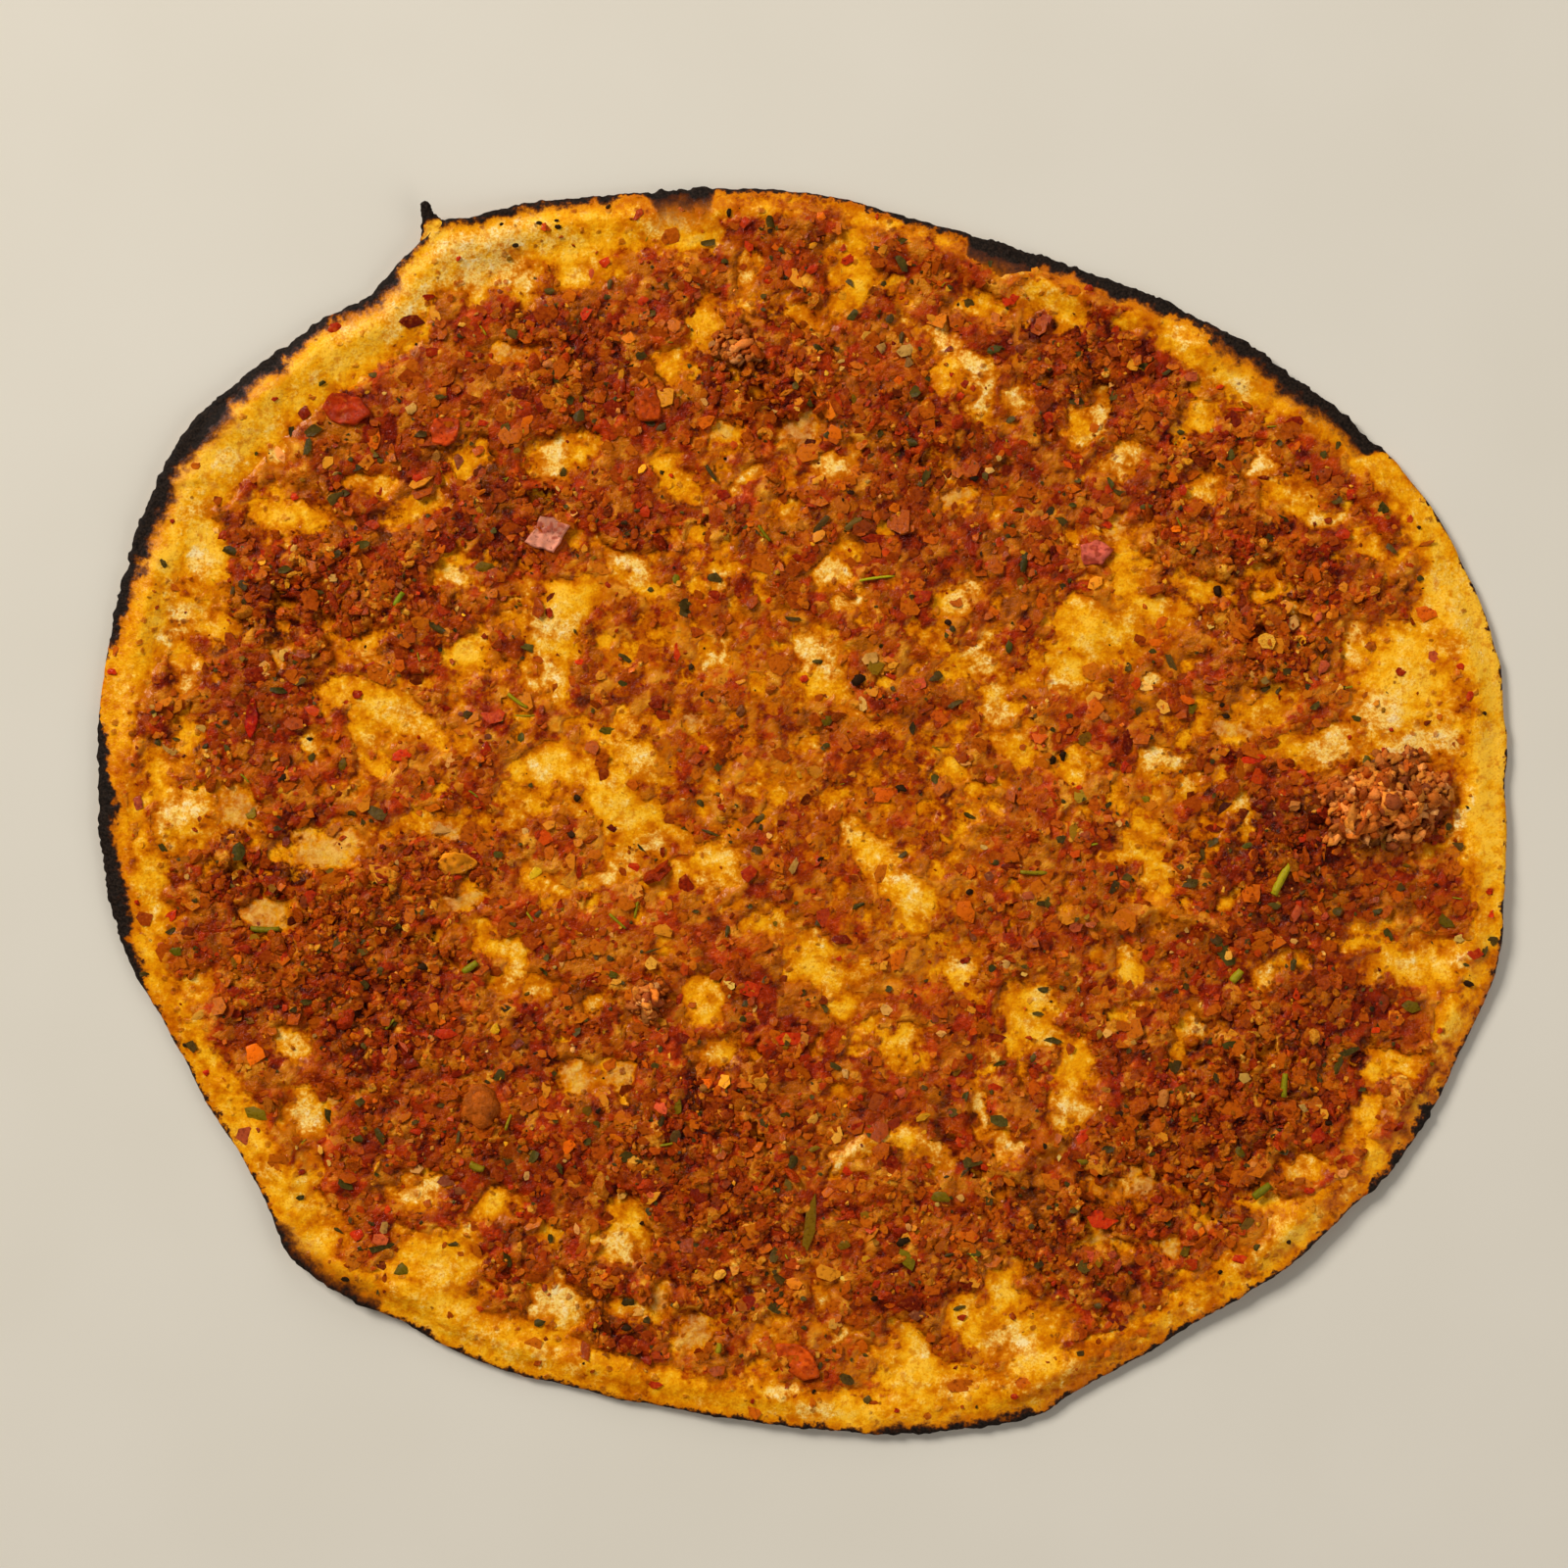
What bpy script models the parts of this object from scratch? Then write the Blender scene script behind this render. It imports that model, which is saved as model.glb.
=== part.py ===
"""Lahmacun: a thin oval flatbread baked under a spread of minced meat, tomato,
pepper and parsley, with the larger pieces of meat and vegetable lying on it.

Metres, +Z up.  The bread lies flat on the plane z = 0.  +X runs along the
longer diameter.  The origin is under the middle of the bread's outline.
"""
import math

import bmesh
import bpy
from mathutils import Matrix, Vector, noise
from mathutils.bvhtree import BVHTree
from mathutils.geometry import delaunay_2d_cdt

MM = 0.001

# ---------------------------------------------------------------- sizes, mm
# Distance of the baked edge from the middle, every 15 degrees, anticlockwise
# from +X: wide to the left and right, nearly straight along the lower left.
EDGE_STEP = 15.0
EDGE_RADII = (158.0, 160.0, 154.0, 146.5, 139.0, 136.0,
              140.0, 145.0, 154.0, 156.0, 163.5, 161.0,
              158.5, 153.5, 148.0, 150.0, 142.5, 137.0,
              138.0, 143.0, 143.5, 148.0, 155.0, 159.5)
# Corners and dents of the edge: bearing, half width in degrees, height.
EDGE_FEATURES = ((28.0, 9.0, 1.6), (121.5, 2.5, 1.6), (129.5, 5.0, -2.6),
                 (146.0, 5.0, 1.0), (189.0, 6.0, 1.5), (200.0, 6.0, -1.2),
                 (220.5, 5.0, 2.0), (231.0, 5.0, -1.8), (291.0, 5.0, 1.6),
                 (308.0, 7.0, -1.3), (323.0, 6.0, -0.9), (341.0, 7.0, -1.3))
# The drawn-out spur of dough on the upper left corner.
SPUR_BEARING = 121.6
SPUR_LENGTH = 5.4
SPUR_HALF_WIDTH_DEG = 0.55

# Width of the bare rim between the edge and the spread, every 15 degrees.
RIM_WIDTHS = (10.0, 11.0, 9.0, 12.0, 7.0, 5.0,
              5.0, 14.0, 14.0, 17.0, 14.0, 11.0,
              7.0, 8.0, 7.0, 10.0, 13.0, 8.0,
              10.0, 14.0, 7.0, 10.0, 7.0, 9.0)

BREAD_THICK = 2.7          # baked dough in the field
EDGE_THICK = 1.9           # at the very edge, where it dries out
RIM_PUFF = 1.3             # the rim's swelling, just inside the edge
RIM_PUFF_AT = 0.955        # as a part of the radius
RIM_PUFF_WIDTH = 0.030
LIFT_START = 0.86          # the underside is flat inside this part of radius
LIFT_BASE = 0.9            # the edge's least lift off the table
# Where the edge curls up more: bearing, half width in degrees, extra lift.
LIFTS = ((121.5, 9.0, 3.0), (222.0, 14.0, 2.2), (35.0, 16.0, 0.9),
         (150.0, 18.0, 1.2), (178.0, 12.0, 0.8), (318.0, 16.0, 1.6),
         (268.0, 14.0, 0.7), (80.0, 12.0, 0.8), (352.0, 9.0, 1.4))

SPREAD_THICK = 1.15        # mince spread
SPREAD_EDGE = 0.45         # where it thins out against the bare bread
GAP = 0.3                  # between pieces that touch

# Blisters in the dough, which lift the surface: x, y, radius, height.
BLISTERS = ((48.0, -70.0, 17.0, 2.0), (20.0, -78.0, 14.0, 1.5),
            (136.0, 24.0, 20.0, 1.6), (-138.0, 2.0, 15.0, 1.1),
            (66.0, 44.0, 18.0, 1.1), (26.0, -20.0, 16.0, 1.2),
            (-40.0, 10.0, 22.0, 1.2), (-84.0, -102.0, 18.0, 1.4),
            (46.0, -124.0, 16.0, 1.3), (36.0, 98.0, 17.0, 1.3),
            (-118.0, 104.0, 16.0, 1.2), (92.0, 102.0, 15.0, 1.2),
            (-56.0, 46.0, 14.0, 0.9), (104.0, -94.0, 14.0, 1.0))
# Wrinkles, where the dough folded a little as it was laid down: points on
# the crest, then height and half width.
WRINKLES = ((((40.0, -2.0), (48.0, -1.5), (57.0, -4.5)), 1.4, 2.6),
            (((59.0, -22.0), (70.0, -24.5), (80.0, -20.5), (88.0, -23.0),
              (95.0, -25.5)), 1.7, 2.8),
            (((8.0, -78.0), (14.0, -72.5), (22.0, -71.5), (29.0, -75.0),
              (34.0, -80.5)), 1.5, 2.8),
            (((37.0, -62.0), (34.5, -70.0), (39.0, -77.5), (48.0, -79.0),
              (54.0, -74.0)), 1.8, 3.0))
# Heaps, where the spread lies thicker: x, y, radius, height.
HEAPS = ((92.0, -62.0, 24.0, 1.0), (-108.0, -24.0, 22.0, 1.1),
         (-118.0, 50.0, 18.0, 0.9), (104.0, 44.0, 17.0, 1.3),
         (-24.0, -78.0, 24.0, 1.0), (-8.0, 98.0, 18.0, 1.0),
         (124.0, 0.0, 20.0, 1.3), (-62.0, 84.0, 20.0, 0.8),
         (24.0, -108.0, 16.0, 0.9), (64.0, -92.0, 18.0, 0.9),
         (-100.0, -72.0, 18.0, 0.8), (-28.0, 106.0, 12.0, 0.8))
# Places left bare by the spread: x, y, half length, half width, turn.
BARE = ((-137.0, 2.5, 9.5, 5.5, 5.0), (-40.0, 9.0, 10.0, 6.5, 60.0),
        (-40.0, -11.0, 9.0, 4.6, 20.0), (-55.0, 45.0, 7.5, 6.0, 30.0),
        (65.0, 43.0, 10.5, 8.0, 40.0), (25.0, -19.0, 6.5, 7.0, 0.0),
        (36.0, 98.0, 10.0, 6.0, -50.0), (128.0, 20.5, 11.5, 5.5, -5.0),
        (4.0, -36.0, 8.5, 5.0, -40.0), (41.0, 29.0, 9.0, 5.0, -65.0),
        (-41.0, -96.0, 4.8, 6.0, -30.0), (-92.0, 21.5, 11.0, 5.0, -20.0))

FIELD_STEP = 8.4           # spacing of the surface's points
EDGE_POINTS = 116          # around the edge

# Lumps of meat: name, x, y, length, width, height, turn, roughness, detail.
LUMPS = (("mince_clump", 130.4, 5.2, 33.0, 18.5, 6.6, 20.0, 0.34, 3),
         ("mince_lump_low", -34.8, -41.2, 9.2, 7.8, 4.6, 20.0, 0.30, 2),
         ("mince_lump_top", -15.4, 105.0, 9.4, 6.8, 3.8, -35.0, 0.30, 2),
         ("meatball_piece", -72.6, -65.0, 8.4, 9.6, 3.6, 0.0, 0.10, 2))
# Cut vegetables: name, x, y, corner radii, thickness, turn, tilt,
# colour, roughness.  The corner radii run round the piece at even steps.
CUTS = (("tomato_piece_1", -103.0, 91.2, (5.6, 3.9, 3.0, 4.6, 5.4, 3.4, 2.9, 4.2),
         2.2, -8.0, 4.0, (0.50, 0.055, 0.012), 0.32),
        ("tomato_piece_2", -80.5, 86.2, (4.1, 3.3, 3.5, 3.4, 3.9, 3.3, 3.4, 3.2),
         2.0, 40.0, 5.0, (0.60, 0.085, 0.020), 0.30),
        ("tomato_piece_3", -1.6, -122.4, (6.6, 4.2, 3.2, 4.0, 6.2, 4.0, 3.3, 4.4),
         1.9, -36.0, 3.0, (0.62, 0.110, 0.015), 0.28),
        ("pepper_dice_1", -57.6, 63.0, (4.6, 3.8, 4.0, 4.4, 3.8),
         2.6, 20.0, 6.0, (0.60, 0.150, 0.110), 0.42),
        ("pepper_dice_2", 65.6, 59.0, (3.9, 3.4, 3.3, 3.8, 3.4),
         2.4, 10.0, 5.0, (0.58, 0.095, 0.080), 0.40),
        ("orange_pepper", -35.2, 92.4, (4.6, 3.3, 4.2, 4.4, 3.2, 4.0),
         2.2, -50.0, 7.0, (0.64, 0.150, 0.018), 0.30),
        ("pepper_strip", -123.8, 21.6, (5.4, 2.0, 1.5, 2.1, 5.2, 1.9, 1.5, 2.0),
         1.8, 86.0, 3.0, (0.48, 0.030, 0.012), 0.25),
        ("yellow_pepper", -78.0, -10.8, (5.2, 3.2, 2.6, 3.4, 5.0, 3.0, 2.6, 3.1),
         2.0, 4.0, 5.0, (0.66, 0.230, 0.022), 0.34))

BREAD_COLOUR = (0.78, 0.42, 0.09)
MINCE_COLOUR = (0.36, 0.095, 0.012)
LUMP_COLOUR = (0.40, 0.15, 0.045)


# ------------------------------------------------------------------- helpers
def around(table, bearing):
    """A smooth closed curve through a table of values at even bearings."""
    n = len(table)
    u = (bearing % 360.0) / (360.0 / n)
    i = int(math.floor(u)) % n
    f = u - math.floor(u)
    a, b, c, d = (table[(i + k) % n] for k in (-1, 0, 1, 2))
    return 0.5 * (2 * b + (c - a) * f + (2 * a - 5 * b + 4 * c - d) * f * f
                  + (3 * b - a - 3 * c + d) * f ** 3)


def turn_between(bearing, centre):
    return (bearing - centre + 180.0) % 360.0 - 180.0


def edge_radius(bearing):
    r = around(EDGE_RADII, bearing)
    for centre, half, height in EDGE_FEATURES:
        r += height * math.exp(-2.0 * (turn_between(bearing, centre) / half) ** 2)
    return r


def lift(bearing):
    h = LIFT_BASE
    for centre, half, height in LIFTS:
        h += height * math.exp(-2.0 * (turn_between(bearing, centre) / half) ** 2)
    return h


def spread_radius(bearing):
    t = math.radians(bearing)
    wave = 1.1 * math.sin(9 * t + 0.7) + 0.8 * math.sin(17 * t + 2.0)
    return edge_radius(bearing) - around(RIM_WIDTHS, bearing) + wave


def polar(x, y):
    bearing = math.degrees(math.atan2(y, x)) % 360.0
    return bearing, math.hypot(x, y)


def underside(x, y):
    """Height of the bread's underside: flat, then lifting towards the edge."""
    bearing, r = polar(x, y)
    t = (r / edge_radius(bearing) - LIFT_START) / (1.0 - LIFT_START)
    return lift(bearing) * min(t, 1.0) ** 2 if t > 0 else 0.0


def crest_distance(x, y, crest):
    best = 1e9
    for (ax, ay), (bx, by) in zip(crest, crest[1:]):
        dx, dy = bx - ax, by - ay
        t = max(0.0, min(1.0, ((x - ax) * dx + (y - ay) * dy) / (dx * dx + dy * dy)))
        best = min(best, math.hypot(x - ax - t * dx, y - ay - t * dy))
    return best


def bread_top(x, y):
    bearing, r = polar(x, y)
    f = r / edge_radius(bearing)
    thick = BREAD_THICK
    thick += 0.45 * noise.noise(Vector((x / 34.0, y / 34.0, 3.1)))
    thick += 0.30 * noise.noise(Vector((x / 13.0, y / 13.0, 7.7)))
    for bx, by, size, height in BLISTERS:
        d = math.hypot(x - bx, y - by) / size
        if d < 1.0:
            thick += height * (1.0 - d * d) ** 2
    for crest, height, half in WRINKLES:
        thick += height * math.exp(-(crest_distance(x, y, crest) / half) ** 2)
    thick += RIM_PUFF * math.exp(-((f - RIM_PUFF_AT) / RIM_PUFF_WIDTH) ** 2)
    fade = max(0.0, min(1.0, (f - 0.965) / 0.035))
    thick = thick * (1.0 - fade) + EDGE_THICK * fade
    return underside(x, y) + thick


def spread_thickness(x, y):
    t = SPREAD_THICK + 0.35 * noise.noise(Vector((x / 9.0, y / 9.0, 1.4)))
    for hx, hy, size, height in HEAPS:
        d = math.hypot(x - hx, y - hy) / size
        if d < 1.0:
            t += height * (1.0 - d * d)
    return max(t, SPREAD_EDGE)


def ring(radius_at, count):
    points = []
    for k in range(count):
        bearing = 360.0 * k / count
        r = radius_at(bearing)
        points.append((r * math.cos(math.radians(bearing)),
                       r * math.sin(math.radians(bearing))))
    return points


def inside(x, y, loop):
    hit = False
    for (ax, ay), (bx, by) in zip(loop, loop[1:] + loop[:1]):
        if (ay > y) != (by > y) and x < (bx - ax) * (y - ay) / (by - ay) + ax:
            hit = not hit
    return hit


def bare_loop(cx, cy, long_half, short_half, turn):
    """An uneven oval, the outline of one bare place."""
    count = max(9, int(round(math.pi * (long_half + short_half) / 4.6)))
    c, s = math.cos(math.radians(turn)), math.sin(math.radians(turn))
    loop = []
    for k in range(count):
        a = 2.0 * math.pi * k / count
        w = 1.0 + 0.16 * math.sin(3 * a + cx) + 0.10 * math.sin(5 * a + cy)
        u, v = long_half * w * math.cos(a), short_half * w * math.sin(a)
        loop.append((cx + u * c - v * s, cy + u * s + v * c))
    return loop


def along(crest, step):
    points = []
    for (ax, ay), (bx, by) in zip(crest, crest[1:]):
        n = max(1, int(round(math.hypot(bx - ax, by - ay) / step)))
        points += [(ax + (bx - ax) * k / n, ay + (by - ay) * k / n) for k in range(n)]
    return points + [crest[-1]]


def material(name, colour, roughness):
    m = bpy.data.materials.new(name)
    m.use_nodes = True
    shader = m.node_tree.nodes["Principled BSDF"]
    shader.inputs["Base Color"].default_value = (*colour, 1.0)
    shader.inputs["Roughness"].default_value = roughness
    shader.inputs["Metallic"].default_value = 0.0
    m.diffuse_color = (*colour, 1.0)
    return m


def add_object(name, mesh, mat, smooth_angle=50.0):
    mesh.materials.append(mat)
    mesh.shade_smooth()
    mesh.set_sharp_from_angle(angle=math.radians(smooth_angle))
    obj = bpy.data.objects.new(name, mesh)
    bpy.context.collection.objects.link(obj)
    return obj


# --------------------------------------------------------------------- start
for old in list(bpy.data.objects):
    bpy.data.objects.remove(old, do_unlink=True)

# The middle of the outline's bounding box becomes the origin.
fine = [(edge_radius(b / 4.0) * math.cos(math.radians(b / 4.0)),
         edge_radius(b / 4.0) * math.sin(math.radians(b / 4.0)))
        for b in range(1440)]
spur_r = edge_radius(SPUR_BEARING) + SPUR_LENGTH
fine.append((spur_r * math.cos(math.radians(SPUR_BEARING)),
             spur_r * math.sin(math.radians(SPUR_BEARING))))
MID_X = 0.5 * (min(p[0] for p in fine) + max(p[0] for p in fine))
MID_Y = 0.5 * (min(p[1] for p in fine) + max(p[1] for p in fine))


def place(x, y, z):
    return Vector(((x - MID_X) * MM, (y - MID_Y) * MM, z * MM))


# The surface's points, shared by the bread and the spread so that the gap
# between them is even: the top's outline, the spread's outline, the bare
# places' outlines, the wrinkles and an even field between them.
bearings = [360.0 * k / EDGE_POINTS for k in range(EDGE_POINTS)]
bearings = [b for b in bearings
            if abs(turn_between(b, SPUR_BEARING)) > 2.4 * SPUR_HALF_WIDTH_DEG]
bearings += [SPUR_BEARING - SPUR_HALF_WIDTH_DEG, SPUR_BEARING,
             SPUR_BEARING + SPUR_HALF_WIDTH_DEG]
bearings.sort()


def at(part_of_radius, bearing):
    r = edge_radius(bearing) * part_of_radius
    return r * math.cos(math.radians(bearing)), r * math.sin(math.radians(bearing))


top_loop = [at(0.985, b) for b in bearings]
spread_loop = ring(spread_radius, 104)
bare_loops = [bare_loop(*spec) for spec in BARE]

points = [Vector(p) for p in top_loop]
edges = [(k, (k + 1) % len(top_loop)) for k in range(len(top_loop))]
for loop in [spread_loop] + bare_loops:
    first = len(points)
    points += [Vector(p) for p in loop]
    edges += [(first + k, first + (k + 1) % len(loop)) for k in range(len(loop))]

fixed = len(points)
for crest, height, half in WRINKLES:
    middle = along(crest, 5.0)
    for k, (x, y) in enumerate(middle):
        ax, ay = middle[max(k - 1, 0)]
        bx, by = middle[min(k + 1, len(middle) - 1)]
        d = math.hypot(bx - ax, by - ay)
        nx, ny = -(by - ay) / d, (bx - ax) / d
        for off in (0.0, 1.9 * half, -1.9 * half):
            q = Vector((x + off * nx, y + off * ny))
            if all((q - p).length > 2.6 for p in points):
                points.append(q)

row_step = FIELD_STEP * math.sqrt(3.0) / 2.0
rows = int(170.0 / row_step)
field = []
for j in range(-rows, rows + 1):
    for i in range(-rows - 2, rows + 3):
        x = (i + 0.5 * (j % 2)) * FIELD_STEP
        y = j * row_step
        x += 1.2 * noise.noise(Vector((x / 7.0, y / 7.0, 11.0)))
        y += 1.2 * noise.noise(Vector((x / 7.0, y / 7.0, 23.0)))
        bearing, r = polar(x, y)
        if r > 0.985 * edge_radius(bearing) - 3.6:
            continue
        q = Vector((x, y))
        if all((q - p).length > 0.52 * FIELD_STEP for p in points):
            field.append(q)
points += field

flat, _, faces, _, _, _ = delaunay_2d_cdt(points, edges, [], 1, 1e-5)
flat = [(p.x, p.y) for p in flat]
faces = [tuple(f) for f in faces]


def counter_clockwise(face):
    (ax, ay), (bx, by), (cx, cy) = (flat[i] for i in face)
    return face if (bx - ax) * (cy - ay) - (by - ay) * (cx - ax) > 0 else face[::-1]


faces = [counter_clockwise(f) for f in faces]

# -------------------------------------------------------------------- bread
count = len(bearings)
verts = [place(x, y, bread_top(x, y)) for x, y in flat]
near = {}
for i, (x, y) in enumerate(flat):
    near[(round(x, 3), round(y, 3))] = i
top_ids = [near[(round(x, 3), round(y, 3))] for x, y in top_loop]


def add_ring(part_of_radius, height_at, spur=0.0):
    first = len(verts)
    for b in bearings:
        x, y = at(part_of_radius, b)
        z = height_at(x, y)
        if spur and b == SPUR_BEARING:
            k = (edge_radius(b) + spur) / edge_radius(b)
            x, y, z = x * k, y * k, z + 0.9
        verts.append(place(x, y, z))
    return list(range(first, first + count))


edge_ids = add_ring(1.0, lambda x, y: underside(x, y) + 0.5 * EDGE_THICK,
                    spur=SPUR_LENGTH)
low_ids = add_ring(0.985, underside)
mid_ids = add_ring(0.93, underside)
foot_ids = add_ring(LIFT_START, lambda x, y: 0.0)

bread_faces = list(faces)
for upper, lower in ((top_ids, edge_ids), (edge_ids, low_ids),
                     (low_ids, mid_ids), (mid_ids, foot_ids)):
    for k in range(count):
        n = (k + 1) % count
        bread_faces.append((upper[k], lower[k], lower[n], upper[n]))
bread_faces.append(tuple(reversed(foot_ids)))

mesh = bpy.data.meshes.new("flatbread")
mesh.from_pydata([tuple(v) for v in verts], [], bread_faces)
bm = bmesh.new()
bm.from_mesh(mesh)
bmesh.ops.triangulate(bm, faces=bm.faces[:])
bm.to_mesh(mesh)
bm.free()
add_object("flatbread", mesh, material("baked_bread", BREAD_COLOUR, 0.55))

# ------------------------------------------------------------- mince spread
chosen = []
for f in faces:
    cx = sum(flat[i][0] for i in f) / 3.0
    cy = sum(flat[i][1] for i in f) / 3.0
    if inside(cx, cy, spread_loop) and not any(inside(cx, cy, l) for l in bare_loops):
        chosen.append(f)

border = {}
for f in chosen:
    for a, b in zip(f, f[1:] + f[:1]):
        if (b, a) in border:
            del border[(b, a)]
        else:
            border[(a, b)] = True
thin = {i for pair in border for i in pair}

used = sorted({i for f in chosen for i in f})
number = {i: k for k, i in enumerate(used)}
upper, lower = [], []
for i in used:
    x, y = flat[i]
    z = bread_top(x, y) + GAP
    t = SPREAD_EDGE if i in thin else spread_thickness(x, y)
    lower.append(place(x, y, z))
    upper.append(place(x, y, z + t))
n_used = len(used)
spread_faces = [tuple(number[i] for i in f) for f in chosen]
spread_faces += [tuple(n_used + number[i] for i in reversed(f)) for f in chosen]
for a, b in border:
    a, b = number[a], number[b]
    spread_faces += [(b, a, a + n_used), (b, a + n_used, b + n_used)]

mesh = bpy.data.meshes.new("mince_topping")
mesh.from_pydata([tuple(v) for v in upper + lower], [], spread_faces)
mesh.validate()
add_object("mince_topping", mesh, material("mince_spread", MINCE_COLOUR, 0.5))

# What the loose pieces rest on, for their height.
ground_verts = [place(x, y, bread_top(x, y)) for x, y in flat]
bread_ground = BVHTree.FromPolygons(ground_verts, faces)
spread_ground = BVHTree.FromPolygons(upper, spread_faces[:len(chosen)])


def ground(x, y, radius):
    """The highest point under a round footprint, in metres."""
    top = 0.0
    steps = 5
    for ring_no in range(steps + 1):
        r = radius * ring_no / steps
        for k in range(max(1, 4 * ring_no)):
            a = 2.0 * math.pi * k / max(1, 4 * ring_no)
            start = place(x + r * math.cos(a), y + r * math.sin(a), 60.0)
            for tree in (bread_ground, spread_ground):
                hit = tree.ray_cast(start, Vector((0, 0, -1)))[0]
                if hit is not None:
                    top = max(top, hit.z)
    return top


def ground_under(bm, x, y, turn):
    """The highest ground under each of a piece's points, in metres."""
    c, s = math.cos(math.radians(turn)), math.sin(math.radians(turn))
    top = 0.0
    for v in bm.verts:
        for part in (0.35, 0.7, 1.0):
            u, w = v.co.x * part, v.co.y * part
            top = max(top, ground(x + u * c - w * s, y + u * s + w * c, 0.9))
    return top


# ------------------------------------------------------------ lumps of meat
for name, x, y, length, width, height, turn, rough, detail in LUMPS:
    bm = bmesh.new()
    bmesh.ops.create_icosphere(bm, subdivisions=detail, radius=1.0)
    floor = -0.30
    for v in bm.verts:
        seed = Vector((x, y, 0.0))
        bump = noise.noise(v.co * 2.1 + seed) + 0.5 * noise.noise(v.co * 4.3 + seed)
        v.co *= 1.0 + rough * bump
        v.co.z = max(v.co.z, floor)
    reach = max(v.co.x for v in bm.verts) - min(v.co.x for v in bm.verts)
    broad = max(v.co.y for v in bm.verts) - min(v.co.y for v in bm.verts)
    high = max(v.co.z for v in bm.verts)
    for v in bm.verts:
        v.co = Vector((v.co.x * length / reach, v.co.y * width / broad,
                       (v.co.z - floor) * height / (high - floor)))
    base = ground_under(bm, x, y, turn) + GAP * MM
    where = place(x, y, 0.0)
    where.z = base
    bmesh.ops.transform(bm, matrix=Matrix.Diagonal((MM, MM, MM, 1.0)), verts=bm.verts[:])
    bmesh.ops.transform(bm, matrix=Matrix.Translation(where)
                        @ Matrix.Rotation(math.radians(turn), 4, "Z"), verts=bm.verts[:])
    mesh = bpy.data.meshes.new(name)
    bm.to_mesh(mesh)
    bm.free()
    add_object(name, mesh, material(name + "_mat", LUMP_COLOUR, 0.55), 75.0)

# ----------------------------------------------------------- cut vegetables
for name, x, y, corners, thick, turn, tilt, colour, roughness in CUTS:
    bm = bmesh.new()
    n = len(corners)
    base_verts = [bm.verts.new((r * math.cos(2 * math.pi * k / n),
                                r * math.sin(2 * math.pi * k / n), 0.0))
                  for k, r in enumerate(corners)]
    face = bm.faces.new(base_verts)
    grown = bmesh.ops.extrude_face_region(bm, geom=[face])
    top_verts = [g for g in grown["geom"] if isinstance(g, bmesh.types.BMVert)]
    slope = math.tan(math.radians(tilt))
    for v in top_verts:
        v.co.z = thick + slope * v.co.x
        v.co.x *= 0.93
        v.co.y *= 0.93
    bm.normal_update()
    top_set = set(top_verts)
    rim = [e for e in bm.edges if e.verts[0] in top_set and e.verts[1] in top_set]
    bmesh.ops.bevel(bm, geom=rim, offset=0.16 * thick + 0.2, segments=2,
                    profile=0.5, affect="EDGES", offset_type="OFFSET")
    bmesh.ops.recalc_face_normals(bm, faces=bm.faces[:])
    bmesh.ops.triangulate(bm, faces=bm.faces[:])
    base = ground_under(bm, x, y, turn) + GAP * MM
    where = place(x, y, 0.0)
    where.z = base
    bmesh.ops.transform(bm, matrix=Matrix.Diagonal((MM, MM, MM, 1.0)), verts=bm.verts[:])
    bmesh.ops.transform(bm, matrix=Matrix.Translation(where)
                        @ Matrix.Rotation(math.radians(turn), 4, "Z"), verts=bm.verts[:])
    mesh = bpy.data.meshes.new(name)
    bm.to_mesh(mesh)
    bm.free()
    add_object(name, mesh, material(name + "_mat", colour, roughness), 35.0)
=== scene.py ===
"""The looks of the lahmacun: baked dough, coarse oily mince, cut vegetables and
herbs, on a plain pale floor.  Places read from the picture are in its pixels,
0.22 mm each, and are turned into millimetres here."""
import math

import bmesh
import bpy
import numpy as np
from mathutils import Matrix, Vector


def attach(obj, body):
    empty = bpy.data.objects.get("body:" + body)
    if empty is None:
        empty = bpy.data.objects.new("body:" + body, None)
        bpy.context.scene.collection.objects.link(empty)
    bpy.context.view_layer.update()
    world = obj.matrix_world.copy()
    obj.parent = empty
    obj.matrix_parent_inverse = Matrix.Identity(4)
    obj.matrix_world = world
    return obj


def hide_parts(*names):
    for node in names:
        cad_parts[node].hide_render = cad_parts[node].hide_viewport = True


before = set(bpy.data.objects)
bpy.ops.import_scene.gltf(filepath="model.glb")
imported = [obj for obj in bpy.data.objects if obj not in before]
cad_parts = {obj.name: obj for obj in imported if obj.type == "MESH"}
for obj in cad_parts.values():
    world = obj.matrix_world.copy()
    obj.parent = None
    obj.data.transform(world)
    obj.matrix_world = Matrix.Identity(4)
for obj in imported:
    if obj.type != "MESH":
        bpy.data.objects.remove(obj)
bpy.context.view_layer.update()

MM = 0.001
PX = 0.22                      # mm for one pixel of the 1600 x 1600 picture
PX_X, PX_Y = 820.0, 832.0      # the picture's pixel over the outline's centre
rng = np.random.default_rng(20814)

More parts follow.
